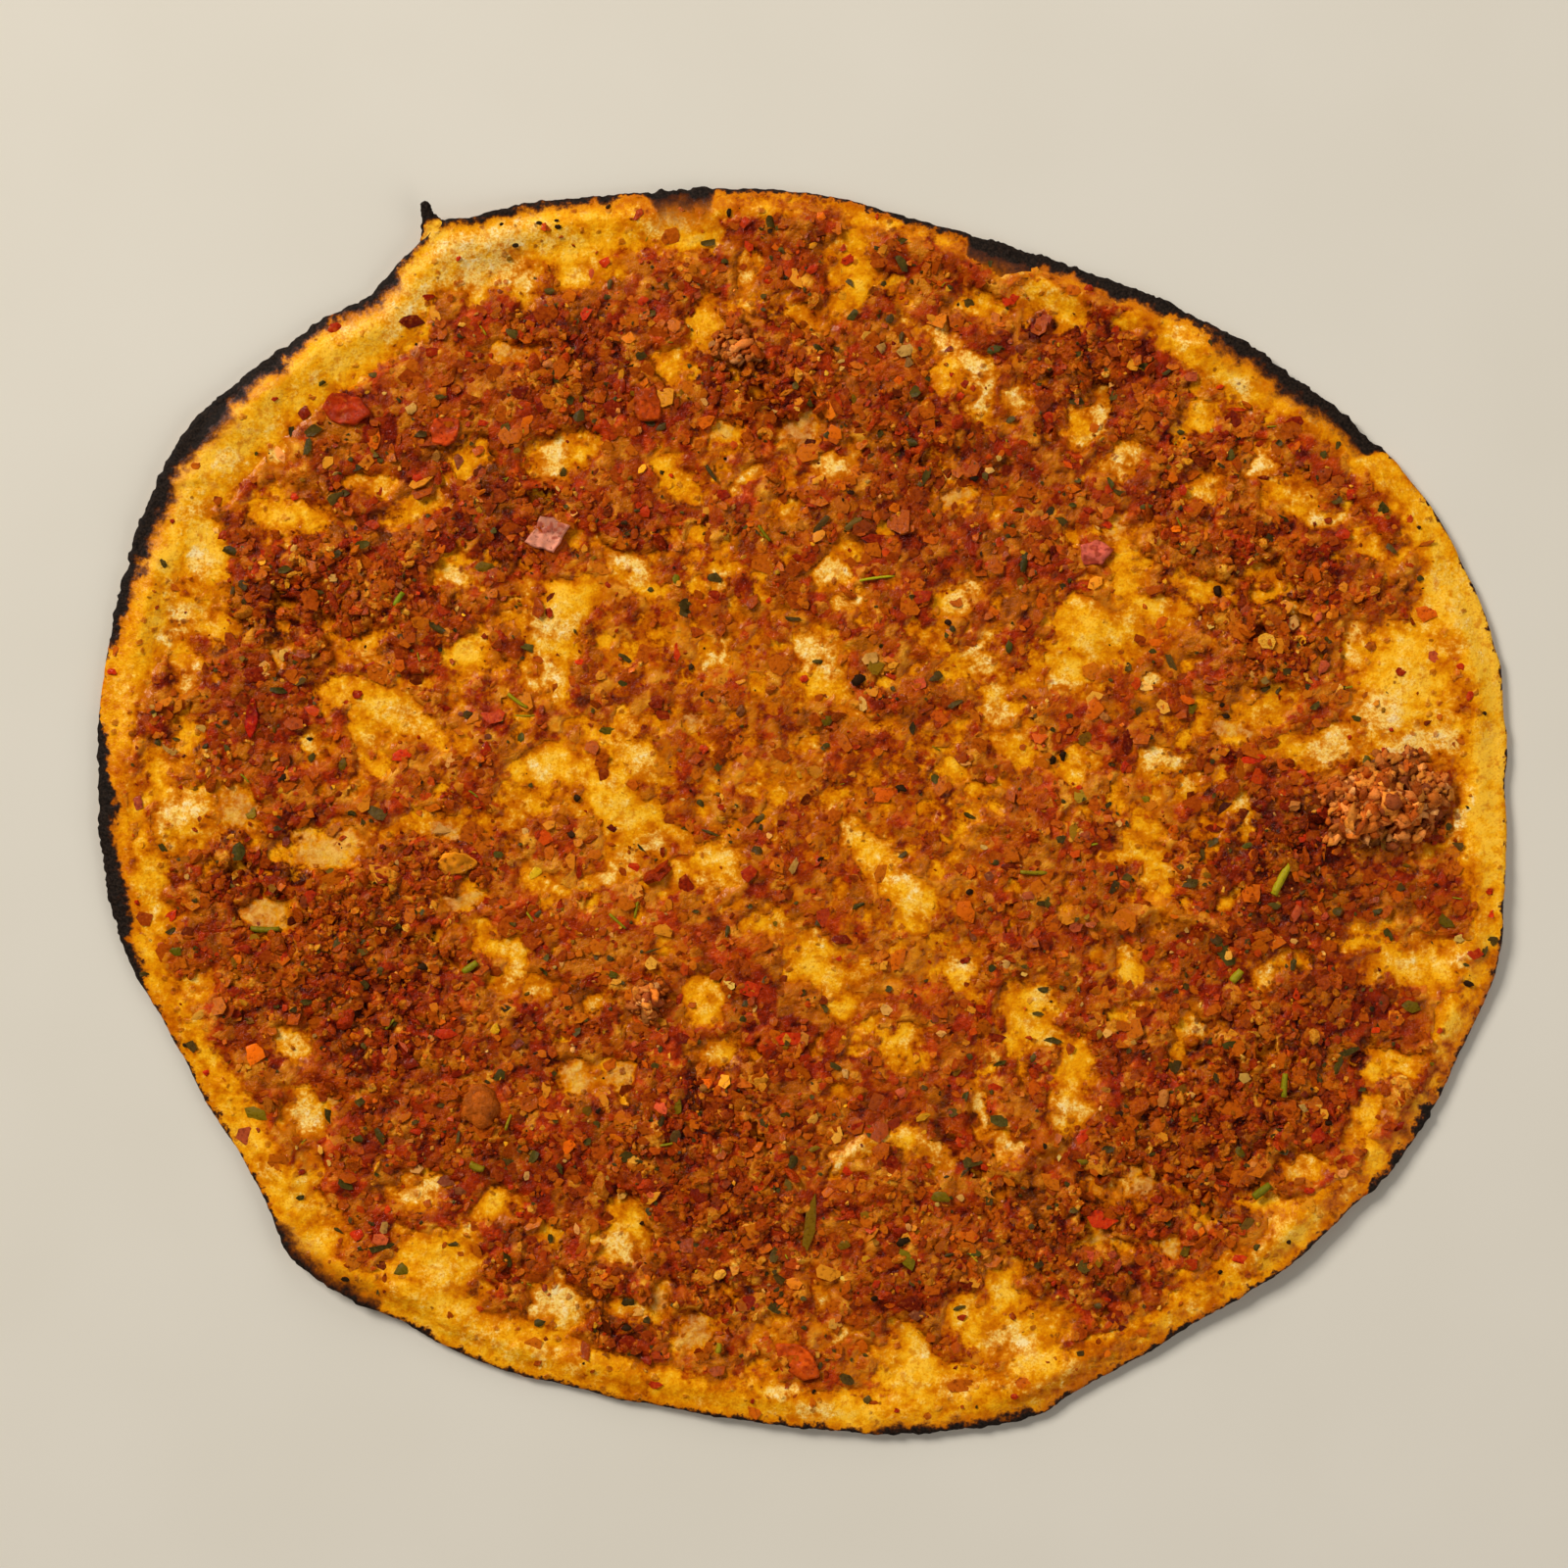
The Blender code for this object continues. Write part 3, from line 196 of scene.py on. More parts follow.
# Pieces that can be told apart: kind, x, y, length, width, turn.
# r red, d dark red, k pink, o orange, y yellow, w white onion, u purple onion,
# g dark leaf, s light green stem, v olive green pepper, b burnt black,
# m light crumb of meat.
PIECES = """
r 468 264 7 7 0|r 342 335 17 13 20|r 281 407 8 6 0|d 310 421 14 15 0|d 435 303 22 10 0|d 420 328 28 14 0
o 200 475 12 8 0|d 440 360 18 12 20|r 478 362 11 8 0|r 492 432 14 8 0|r 300 507 9 8 0|r 426 507 10 7 0
r 426 488 12 8 0|r 227 546 14 11 40|r 176 532 6 5 0|r 380 535 18 12 0|d 455 520 12 9 0|d 482 548 24 9 0
d 530 400 22 15 10|d 555 415 18 13 0|u 467 470 12 18 -20|u 408 597 12 9 0|g 560 297 12 8 0|g 523 340 16 10 -20
g 328 391 13 5 30|g 380 382 10 7 0|g 320 440 20 13 20|g 314 457 22 9 78|g 297 440 7 12 0|g 450 405 13 6 0
g 430 444 16 8 0|g 342 508 22 14 30|g 352 503 10 8 0|g 243 544 10 4 20|g 167 576 12 6 -65|g 235 562 18 10 -20
g 238 600 20 6 80|g 292 582 16 9 10|g 342 565 14 11 0|g 370 556 22 9 10|b 526 250 7 6 0|b 512 229 5 4 0
b 550 228 7 5 0|b 570 232 8 6 0|b 568 225 5 4 0|g 325 605 14 7 0|g 575 482 12 8 80|v 495 580 26 14 -10
s 408 612 16 8 60|g 388 470 7 7 0|w 285 463 22 12 -65|w 420 418 13 12 40|w 300 560 12 7 45|w 340 590 10 8 0
r 761 227 14 13 80|r 764 250 14 11 80|r 617 268 15 12 50|r 865 264 17 10 32|k 711 300 9 8 40|r 657 307 14 10 40
d 705 318 12 7 70|r 830 274 16 9 20|r 785 287 12 8 0|d 590 355 28 12 80|d 635 392 20 7 84|d 627 416 26 22 0
o 720 430 22 14 20|r 971 382 6 5 0|r 985 392 10 8 40|r 978 405 16 9 20|o 838 222 10 11 0|r 895 221 8 4 70
u 1068 325 13 12 20|r 1030 305 22 14 10|d 805 335 10 8 0|d 795 398 16 12 0|k 823 457 12 7 -10|d 885 460 13 9 60
r 738 505 15 12 0|r 658 522 16 13 0|r 685 485 6 5 0|r 828 512 15 11 0|d 893 550 36 12 0|r 1070 425 13 12 0
d 1030 480 18 16 0|d 815 568 15 10 0|r 730 607 16 12 0|r 785 612 8 7 0|r 620 597 8 6 90|d 940 610 26 17 20
d 1075 560 12 7 80|g 786 227 14 13 0|b 745 215 14 7 85|b 620 210 7 6 0|g 723 247 16 7 12|g 740 266 10 6 0
g 920 247 14 7 20|g 920 270 20 11 -60|g 990 309 14 10 -40|g 622 290 12 6 80|g 663 320 14 7 10|g 870 322 15 9 40
g 835 356 13 9 -45|g 853 356 8 7 0|g 920 345 14 6 85|g 1015 357 16 10 0|w 925 357 22 13 10|g 935 400 14 13 30
g 1060 393 8 6 0|g 1030 427 14 9 0|g 930 450 16 11 -20|g 812 393 14 8 70|g 590 425 18 14 70|g 662 430 18 8 -30
g 724 480 30 5 -58|g 675 482 6 5 0|g 945 485 22 8 68|b 995 488 10 7 0|b 868 502 8 6 0|g 838 535 24 8 42
g 870 535 24 9 36|g 1040 520 14 4 0|g 640 545 12 5 30|b 637 533 8 6 0|g 1045 575 26 9 80|s 895 590 36 4 8
v 690 590 12 9 60|g 700 615 18 12 40|y 835 490 15 9 30|w 1010 480 11 7 0|w 900 355 12 12 0|o 900 345 12 9 0
r 1110 295 14 9 40|r 1113 331 11 9 60|k 1215 385 15 10 0|r 1245 395 10 5 20|d 1258 428 27 18 -25|r 1265 417 27 4 0
d 1320 430 24 14 0|r 1205 500 19 12 0|k 1325 473 12 8 -20|d 1290 487 14 5 0|r 1380 505 16 12 0|r 1370 545 23 12 10
o 1200 540 12 7 0|r 1130 535 14 9 0|r 1110 520 14 9 0|o 1455 555 20 6 20|g 1235 350 12 5 -70|g 1100 362 8 7 0
g 1170 375 16 9 -20|g 1190 380 13 5 30|g 1100 410 18 9 0|g 1205 440 10 7 0|b 1265 447 4 4 0|g 1100 490 8 6 0
g 1133 493 14 6 -70|g 1143 503 17 6 -15|g 1170 517 14 6 0|g 1095 515 10 5 0|g 1310 530 13 7 -30|g 1295 550 14 11 50
g 1365 510 14 9 20|b 1415 520 10 8 0|g 1420 560 16 8 -50|g 1365 455 10 7 80|g 1450 590 10 7 0|g 1245 475 12 4 -30
b 1245 602 13 14 0|g 1305 452 8 7 0|k 1085 375 9 8 0|w 1135 390 14 7 50|y 1210 470 14 10 0|y 1203 476 9 8 0
r 113 686 13 8 -10|o 105 660 14 8 90|d 263 690 30 20 0|r 364 708 12 10 0|k 232 718 13 7 -20|r 380 680 17 9 20
d 258 778 10 8 90|d 298 795 12 7 0|k 140 820 18 13 80|d 250 855 14 9 0|r 315 915 19 14 10|r 390 895 26 15 -50
r 173 935 20 11 50|r 140 921 6 6 0|r 222 908 11 8 -30|k 165 965 11 7 0|d 495 765 18 13 70|k 465 650 12 5 70
d 452 722 16 10 0|r 410 770 26 15 -10|r 497 920 14 9 0|r 465 895 14 7 0|r 250 968 16 10 0|r 290 975 20 9 75
d 238 1012 15 13 0|d 240 1035 14 11 0|r 560 625 12 9 80|r 265 890 14 7 80|g 445 640 22 9 -25|g 410 650 12 7 0
g 305 695 22 10 10|g 285 705 20 8 -10|g 537 660 20 9 -25|w 320 668 12 6 80|w 205 743 14 9 0|g 160 757 10 7 -50
g 178 754 9 4 0|b 316 754 8 4 0|g 317 773 13 9 70|v 350 780 16 9 85|b 290 793 10 8 60|g 478 730 12 11 0
s 528 715 24 5 -36|s 535 730 20 2 0|g 531 752 12 7 80|g 385 830 22 13 -20|g 358 830 10 7 0|g 165 865 14 7 -50
g 245 870 22 15 80|g 175 950 14 6 24|s 270 948 29 8 0|v 180 970 14 11 10|g 367 972 18 9 10|g 388 992 10 7 80
b 432 987 14 10 0|s 480 987 17 8 36|g 372 1005 12 11 0|g 405 945 10 7 0|g 500 857 16 6 -20|g 508 872 12 7 0
g 147 994 12 5 0|g 300 1030 12 6 30|g 313 1022 14 7 0|g 515 1028 14 9 0|v 255 830 16 12 50|v 338 890 12 11 0
w 290 667 16 12 80|w 172 765 18 8 -35|w 460 775 19 10 75|w 452 845 28 15 30|y 545 890 24 14 60|o 560 870 20 12 60
r 690 665 22 9 85|o 743 632 14 9 70|o 820 615 15 13 0|r 820 692 11 10 0|d 668 715 22 16 0|d 677 728 18 14 0
r 717 765 13 11 0|r 735 823 10 9 0|r 765 892 18 16 30|d 700 905 26 18 80|r 648 885 15 11 0|o 860 670 19 12 80
r 910 690 14 9 0|k 938 698 16 12 20|u 755 725 14 9 70|r 590 675 12 9 20|r 693 1020 16 7 85|r 765 1010 24 16 -20
d 860 960 24 12 0|o 915 980 30 18 60|u 993 955 17 7 -60|r 985 980 13 7 20|o 990 890 18 11 80|d 1000 1030 16 9 0
d 1030 885 20 7 0|k 1050 915 15 11 0|k 1010 795 12 9 0|o 900 810 28 18 0|d 613 775 12 9 20|d 625 845 16 9 0
d 590 890 15 8 80|r 830 910 8 7 0|o 788 760 8 7 0|o 745 770 10 7 70|g 700 620 19 13 60|g 808 631 20 5 -5
g 638 672 17 7 -32|b 705 680 9 6 80|g 835 675 13 5 0|b 875 693 21 15 -10|v 620 745 24 9 0|v 845 735 14 11 0
b 718 708 8 7 0|g 733 783 12 9 60|b 590 815 11 9 -40|g 715 820 10 8 -60|g 655 867 16 3 -50|g 725 850 20 4 -20
g 700 845 12 3 0|s 650 925 24 4 78|s 630 940 22 3 -42|g 665 970 24 3 18|g 742 950 14 5 80|g 710 930 9 4 0
g 775 835 14 9 40|g 772 868 12 9 0|b 838 878 10 8 0|g 875 925 16 6 30|g 920 872 14 7 20|b 920 805 14 9 -20
g 955 795 12 11 0|g 955 690 17 11 36|g 975 718 17 7 20|b 967 635 8 7 0|g 1030 660 13 9 70|g 990 833 14 6 -22
g 1015 880 12 7 0|g 840 1028 14 10 -50|b 990 910 10 7 0|g 1065 1010 12 7 0|g 1060 1035 16 5 0|v 625 995 12 9 0
b 1075 775 12 9 60|w 810 885 22 9 70|w 985 778 15 8 -20|w 905 1030 14 13 0|w 1025 985 19 11 80|w 745 1005 17 8 -35
y 870 790 10 7 0|y 735 835 11 7 -20|r 1278 775 34 16 8|o 1265 632 10 6 80|d 1150 757 28 12 85|r 1148 782 15 9 80
o 1455 625 26 20 -20|r 1430 685 12 10 0|k 1465 670 17 12 -30|k 1350 680 20 12 60|r 1420 745 6 5 0|r 1378 752 5 5 0
r 1412 765 8 5 70|o 1400 660 14 11 0|o 1185 635 18 11 20|o 1180 655 16 9 0|o 1115 685 24 18 20|o 1115 725 30 24 80
r 1100 805 10 8 0|k 1108 854 14 11 0|r 1330 855 12 9 0|k 1325 930 26 14 70|k 1352 935 10 7 50|u 1235 695 20 9 0
d 1425 852 16 9 -20|r 1520 910 8 7 0|r 1522 933 10 6 70|r 1505 973 18 13 0|k 1098 945 16 12 20|d 1130 1005 16 14 0
r 1500 710 13 8 70|r 1490 680 10 8 0|d 1240 845 20 9 0|g 1152 680 12 7 70|g 1194 675 26 8 -62|g 1312 686 12 9 20
v 1215 723 16 13 20|b 1248 720 7 6 0|b 1252 730 8 7 0|g 1162 725 10 7 60|g 1343 720 15 7 32|g 1384 733 10 7 -30
g 1293 702 12 7 20|g 1305 705 10 5 60|g 1092 730 9 7 0|v 1395 775 13 9 60|g 1225 873 18 13 20|g 1150 895 12 9 0
g 1215 902 20 11 0|g 1205 885 10 7 0|g 1137 905 16 9 70|g 1130 822 17 5 36|v 1170 815 10 8 0|g 1235 860 24 9 24
g 1275 863 16 7 20|b 1240 885 5 5 0|s 1308 897 36 10 62|g 1300 925 14 9 -20|g 1365 930 12 9 60|g 1405 930 14 8 20
g 1418 955 17 8 -65|v 1475 940 22 12 -36|b 1465 903 6 5 0|g 1487 863 18 13 0|w 1490 957 16 10 -20|g 1525 960 14 11 30
g 1515 970 14 6 80|b 1428 825 14 10 -60|d 1354 826 24 15 20|g 1240 958 16 11 -30|g 1250 972 32 20 -52|g 1273 962 12 7 80
w 1320 960 10 9 0|g 1320 985 14 7 80|s 1262 996 15 9 50|v 1440 1028 21 14 -10|b 1498 1003 14 8 -10|b 1515 728 5 5 0
b 1085 772 12 9 60|g 1135 780 9 5 -20|w 1320 635 17 12 80|k 1345 630 16 8 60|w 1170 700 18 12 -30|m 1320 822 22 14 0
d 415 1085 28 14 0|r 455 1055 26 11 0|k 412 1065 22 7 -65|d 470 1095 30 8 18|o 260 1075 28 22 80|k 252 1160 25 19 -40
r 210 1095 9 7 0|b 172 1072 5 5 0|o 285 1185 24 20 0|d 308 1196 10 7 0|u 455 1205 19 16 -40|u 470 1215 15 12 -40
k 390 1265 20 14 -40|r 365 1260 20 13 0|r 330 1165 14 10 0|r 425 1155 14 9 0|r 395 1235 12 9 80|d 545 1270 14 9 0
k 555 1315 10 7 70|d 565 1160 20 16 0|r 530 1240 12 7 0|g 192 1070 21 15 60|v 260 1135 30 16 -25|g 368 1124 12 9 20
g 336 1140 21 11 -65|g 362 1107 10 7 0|g 372 1065 11 9 70|g 365 1162 12 8 0|g 388 1160 20 9 -65|g 424 1145 13 5 30
g 450 1128 10 6 0|g 467 1160 14 6 75|g 352 1208 21 9 -30|g 517 1188 16 12 0|g 545 1180 14 9 70|s 487 1190 15 10 -20
g 307 1222 10 7 20|g 388 1273 48 7 11|g 462 1270 12 5 10|g 518 1285 20 9 -70|g 345 1255 14 5 -30|b 353 1304 15 6 0
g 550 1350 14 9 0|g 560 1265 12 9 60|v 410 1295 18 14 20|w 393 1252 14 9 70|y 385 1190 13 4 65|y 505 1050 14 11 60
k 675 1130 16 13 0|d 695 1060 19 14 0|r 805 1060 28 14 0|d 820 1080 22 13 0|d 700 1290 12 9 0|d 715 1220 25 20 0
d 1015 1060 25 12 0|r 1060 1090 15 7 -30|k 1070 1100 12 9 0|r 1015 1110 16 9 -20|k 920 1115 14 12 0|r 878 1120 8 7 0
r 875 1150 15 9 20|r 865 1195 14 11 0|d 910 1185 22 17 0|r 945 1190 19 7 16|r 980 1165 14 9 -60|r 1005 1190 14 9 -30
o 860 1210 16 12 0|r 775 1210 14 11 0|d 930 1330 32 18 0|u 935 1342 20 13 0|r 895 1310 12 9 60|d 985 1310 20 13 0
r 980 1345 15 9 20|d 760 1330 28 17 0|d 640 1370 20 17 0|d 660 1387 15 13 0|r 668 1413 18 9 -10|r 768 1430 8 5 80
b 830 1420 6 5 0|r 1035 1425 10 7 0|r 915 1440 8 6 0|o 1045 1410 20 14 0|o 980 1415 28 14 0|o 770 1441 18 13 -30
o 965 1370 14 11 0|g 640 1180 24 13 10|g 675 1145 16 8 80|g 690 1160 16 12 60|v 690 1130 19 13 70|g 600 1165 10 9 0
v 830 1172 15 7 15|g 810 1185 16 12 70|v 827 1248 62 12 82|g 987 1194 30 5 42|v 960 1222 26 13 -5|w 980 1222 10 9 0
v 885 1240 16 8 -20|v 860 1270 17 12 0|b 920 1266 18 12 -10|v 925 1283 30 16 -60|g 790 1280 24 10 75|g 795 1305 14 9 -30
g 790 1335 20 12 -20|b 893 1325 12 7 -20|g 968 1280 14 5 15|g 995 1278 18 7 -10|g 1010 1225 22 9 80|g 640 1330 16 11 20
b 640 1355 12 10 0|w 635 1218 15 13 0|b 655 1248 10 5 -10|b 610 1133 8 7 0|s 733 1375 10 7 80|g 865 1408 20 11 -30
g 885 1430 12 9 60|g 820 1325 8 6 0|g 1060 1290 13 8 20|g 1020 1143 20 13 0|g 985 1120 17 7 70|g 1075 1062 20 7 -10
g 1055 1080 10 7 60|g 853 1088 14 8 -30|g 980 1335 15 5 12|g 1020 1085 16 5 20|w 862 1095 14 8 -70|o 720 1105 15 12 0
o 732 1112 14 9 50|y 941 1140 19 8 8|o 785 1165 20 6 85|w 650 1340 14 11 40|w 960 1055 12 8 0|y 935 1080 12 8 80
o 580 1170 20 15 80|r 1125 1243 34 21 -3|r 1345 1160 24 15 60|r 1250 1206 40 9 -17|d 1425 1150 20 9 32|r 1335 1215 12 8 0
r 1340 1135 14 9 -20|r 1265 1285 18 12 10|k 1135 1280 16 10 60|k 1140 1292 18 8 70|k 1110 1282 14 12 0|k 1180 1285 16 11 40
r 1105 1160 19 12 60|d 1135 1345 17 10 -42|o 1240 1260 8 8 0|r 1180 1310 14 7 0|d 1145 1355 10 7 0|o 1165 1360 16 9 0
b 1143 1136 10 7 10|g 1200 1088 18 11 75|g 1255 1065 18 8 10|g 1375 1073 26 8 20|g 1366 1088 24 8 72|g 1390 1112 12 5 0
w 1215 1117 10 8 0|v 1218 1138 19 14 60|v 1265 1175 14 9 -60|g 1275 1190 14 7 -20|g 1310 1175 11 8 0|s 1287 1215 21 9 38
g 1130 1172 16 8 0|v 1105 1185 15 7 -10|g 1175 1178 12 5 20|g 1095 1235 10 7 0|b 1110 1225 14 6 75|g 1190 1248 10 9 0
v 1210 1275 22 9 66|g 1282 1272 10 7 40|b 1315 1268 8 7 -20|g 1103 1380 10 8 0|g 1120 1333 9 7 0|b 1245 1298 6 6 0
v 1460 1085 7 6 0|b 1355 1145 8 7 0|s 1310 1107 24 8 86|w 1270 1100 14 11 0|w 1330 1130 13 9 -20|y 1335 1230 19 17 0
o 1265 1125 16 9 -20|o 493 1040 14 10 0|o 985 930 27 24 0|o 1277 912 21 20 0|w 888 672 18 12 10|v 893 680 20 18 0
m 720 1110 14 11 30|m 745 350 18 13 -30|m 560 372 16 11 20|m 1205 1090 16 11 0|m 1290 1065 18 12 0|m 1185 1120 20 14 80
"""


# ------------------------------------------------------------------- numbers
def wrap(b):
    return (b + 180.0) % 360.0 - 180.0


def around(table, b):
    n = len(table)
    u = (b % 360.0) / (360.0 / n)
    i = np.floor(u).astype(int)
    f = u - i
    a, c, d, e = (table[(i + k) % n] for k in (-1, 0, 1, 2))
    return 0.5 * (2 * c + (d - a) * f + (2 * a - 5 * c + 4 * d - e) * f * f
                  + (3 * c - a - 3 * d + e) * f ** 3)


def edge_radius(b):
    r = around(EDGE_RADII, b)
    for centre, half, height in EDGE_FEATURES:
        r = r + height * np.exp(-2.0 * (wrap(b - centre) / half) ** 2)
    return r


def smooth(a, b, x):
    t = np.clip((x - a) / (b - a), 0.0, 1.0)
    return t * t * (3.0 - 2.0 * t)


def hashed(i, j, seed):
    h = (i.astype(np.int64) * 374761393 + j.astype(np.int64) * 668265263
         + seed * 1442695041) & 0xFFFFFFFF
    h = ((h ^ (h >> 13)) * 1274126177) & 0xFFFFFFFF
    h = h ^ (h >> 16)
    return (h & 0xFFFFFF) / float(0x1000000)


def noise1(x, y, size, seed):
    """Smooth noise from -1 to 1, with features of about that size."""
    c, s = math.cos(seed * 1.7), math.sin(seed * 1.7)
    u, v = (x * c - y * s) / size + 31.7, (x * s + y * c) / size - 17.3
    i, j = np.floor(u), np.floor(v)
    fu, fv = u - i, v - j
    fu, fv = fu ** 3 * (fu * (fu * 6 - 15) + 10), fv ** 3 * (fv * (fv * 6 - 15) + 10)
    a, b = hashed(i, j, seed), hashed(i + 1, j, seed)
    c, d = hashed(i, j + 1, seed), hashed(i + 1, j + 1, seed)
    return 2.0 * ((a + (b - a) * fu) * (1 - fv) + (c + (d - c) * fu) * fv) - 1.0


def fbm(x, y, size, seed, octaves=4, gain=0.5):
    total, weight, top = 0.0, 1.0, 0.0
    for k in range(octaves):
        total = total + weight * noise1(x, y, size / 2.0 ** k, seed + 11 * k)
        top += weight
        weight *= gain
    return total / top


def cells(x, y, size, seed, jitter=0.95):
    """The nearest and second nearest of scattered points, in units of size,
    and a number from 0 to 1 of the nearest."""
    u, v = x / size, y / size
    i, j = np.floor(u), np.floor(v)
    d1 = np.full(x.shape, 9.0)
    d2 = np.full(x.shape, 9.0)
    tag = np.zeros(x.shape)
    for di in (-1, 0, 1):
        for dj in (-1, 0, 1):
            ci, cj = i + di, j + dj
            px = ci + 0.5 + jitter * (hashed(ci, cj, seed) - 0.5)
            py = cj + 0.5 + jitter * (hashed(ci, cj, seed + 5) - 0.5)
            d = np.hypot(u - px, v - py)
            near = d < d1
            d2 = np.where(near, d1, np.minimum(d2, d))
            tag = np.where(near, hashed(ci, cj, seed + 9), tag)
            d1 = np.where(near, d, d1)
    return d1, d2, tag


def rows(text):
    for line in text.replace("\n", "|").split("|"):
        if line.strip():
            yield line.split()


def from_px(px, py):
    return (px - PX_X) * PX, (PX_Y - py) * PX


bare_list = [(k, *from_px(float(x), float(y)), float(a) * PX, float(b) * PX,
              math.radians(float(t))) for k, x, y, a, b, t in rows(BARE)]
tone_list = [(*from_px(float(x), float(y)), float(r) * PX, float(v))
             for x, y, r, v in rows(TONES)]
thin_list = [(*from_px(float(x), float(y)), float(r) * PX, float(v))
             for x, y, r, v in rows(THIN)]
coarse_list = [(*from_px(float(x), float(y)), float(r) * PX, float(v))
               for x, y, r, v in rows(COARSE)]
piece_list = [(k, *from_px(float(x), float(y)), float(a) * PX, float(b) * PX,
               float(t)) for k, x, y, a, b, t in rows(PIECES)]


def kept_on(x, y, margin):
    """The place itself, or the nearest that is that far inside the edge."""
    b = math.degrees(math.atan2(y, x)) % 360.0
    r = math.hypot(x, y)
    most = float(edge_radius(np.array([b]))[0]) - margin
    return (x, y) if r <= most else (x * most / r, y * most / r)


piece_list = [(k, *kept_on(x, y, 1.2 + 0.35 * min(a, b)), a, b, t) for k, x, y, a, b, t in piece_list]

angles = np.arange(1440) / 4.0
ex = edge_radius(angles) * np.cos(np.radians(angles))
ey = edge_radius(angles) * np.sin(np.radians(angles))
MID_X, MID_Y = 0.5 * (ex.min() + ex.max()), 0.5 * (ey.min() + ey.max())


# ------------------------------------------------------------ surface fields
def polar(x, y):
    return np.degrees(np.arctan2(y, x)) % 360.0, np.hypot(x, y)


def ragged(b):
    """How far the real edge strays from its smooth line, in mm."""
    t = np.radians(b)
    x, y = 150.0 * np.cos(t), 150.0 * np.sin(t)
    burnt, _ = char_of(b)
    rough = 0.18 + 0.30 * np.clip(burnt, 0, 2.4)
    return (rough * fbm(x, y, 2.4, 301, 3, 0.75)
            + 0.35 * noise1(x, y, 7.0, 311))


def char_of(b):
    width = np.zeros_like(b)
    halo = np.full_like(b, 0.3)
    for b0, b1, w, h in CHAR:
        mid, half = 0.5 * (b0 + b1), 0.5 * (b1 - b0)
        inside = 1.0 - smooth(half - 0.5, half + 0.9, np.abs(wrap(b - mid)))
        width = np.maximum(width, w * inside)
        halo = np.maximum(halo, h * inside)
    return width, halo


def lift(b):
    h = np.full_like(b, LIFT_BASE)
    for centre, half, height in LIFTS:
        h = h + height * np.exp(-2.0 * (wrap(b - centre) / half) ** 2)
    return h


def underside(x, y):
    b, r = polar(x, y)
    t = np.clip((r / edge_radius(b) - LIFT_START) / (1.0 - LIFT_START), 0.0, 1.0)
    return lift(b) * t * t


def crest_distance(x, y, crest):
    best = np.full(x.shape, 1e9)
    for (ax, ay), (bx, by) in zip(crest, crest[1:]):
        dx, dy = bx - ax, by - ay
        t = np.clip(((x - ax) * dx + (y - ay) * dy) / (dx * dx + dy * dy), 0.0, 1.0)
        best = np.minimum(best, np.hypot(x - ax - t * dx, y - ay - t * dy))
    return best


def bread_thickness(x, y):
    b, r = polar(x, y)
    f = r / edge_radius(b)
    thick = BREAD_THICK + 0.40 * fbm(x, y, 34.0, 3, 2) + 0.22 * noise1(x, y, 13.0, 7)
    thick = thick + 0.20 * fbm(x, y, 5.0, 17, 3) + 0.05 * noise1(x, y, 1.6, 19)
    thick = thick + 0.42 * noise1(x, y, 17.0, 11)
    d1, _, tag = cells(x + 2.0 * noise1(x, y, 9.0, 21), y + 2.0 * noise1(x, y, 9.0, 23), 12.0, 25)
    near_rim = smooth(0.80, 0.93, f)
    thick = thick + (0.20 + 0.55 * near_rim) * tag * np.clip(1.0 - (d1 / 0.62) ** 2, 0, 1) ** 1.5
    for bx, by, size, height in BLISTERS:
        d = np.hypot(x - bx, y - by) / size
        thick = thick + height * np.where(d < 1.0, (1.0 - np.minimum(d, 1) ** 2) ** 2, 0)
    for crest, height, half in WRINKLES:
        thick = thick + height * np.exp(-(crest_distance(x, y, crest) / half) ** 2)
    puffed = 0.75 + 0.55 * noise1(x, y, 22.0, 27) + 0.25 * noise1(x, y, 8.0, 29)
    thick = thick + RIM_PUFF * puffed * np.exp(-((f - RIM_PUFF_AT - 0.010 * noise1(x, y, 16.0, 33))
                                                 / RIM_PUFF_WIDTH) ** 2)
    fade = smooth(0.955, 0.998, f)
    thick = thick * (1.0 - fade) + EDGE_THICK * fade
    return thick


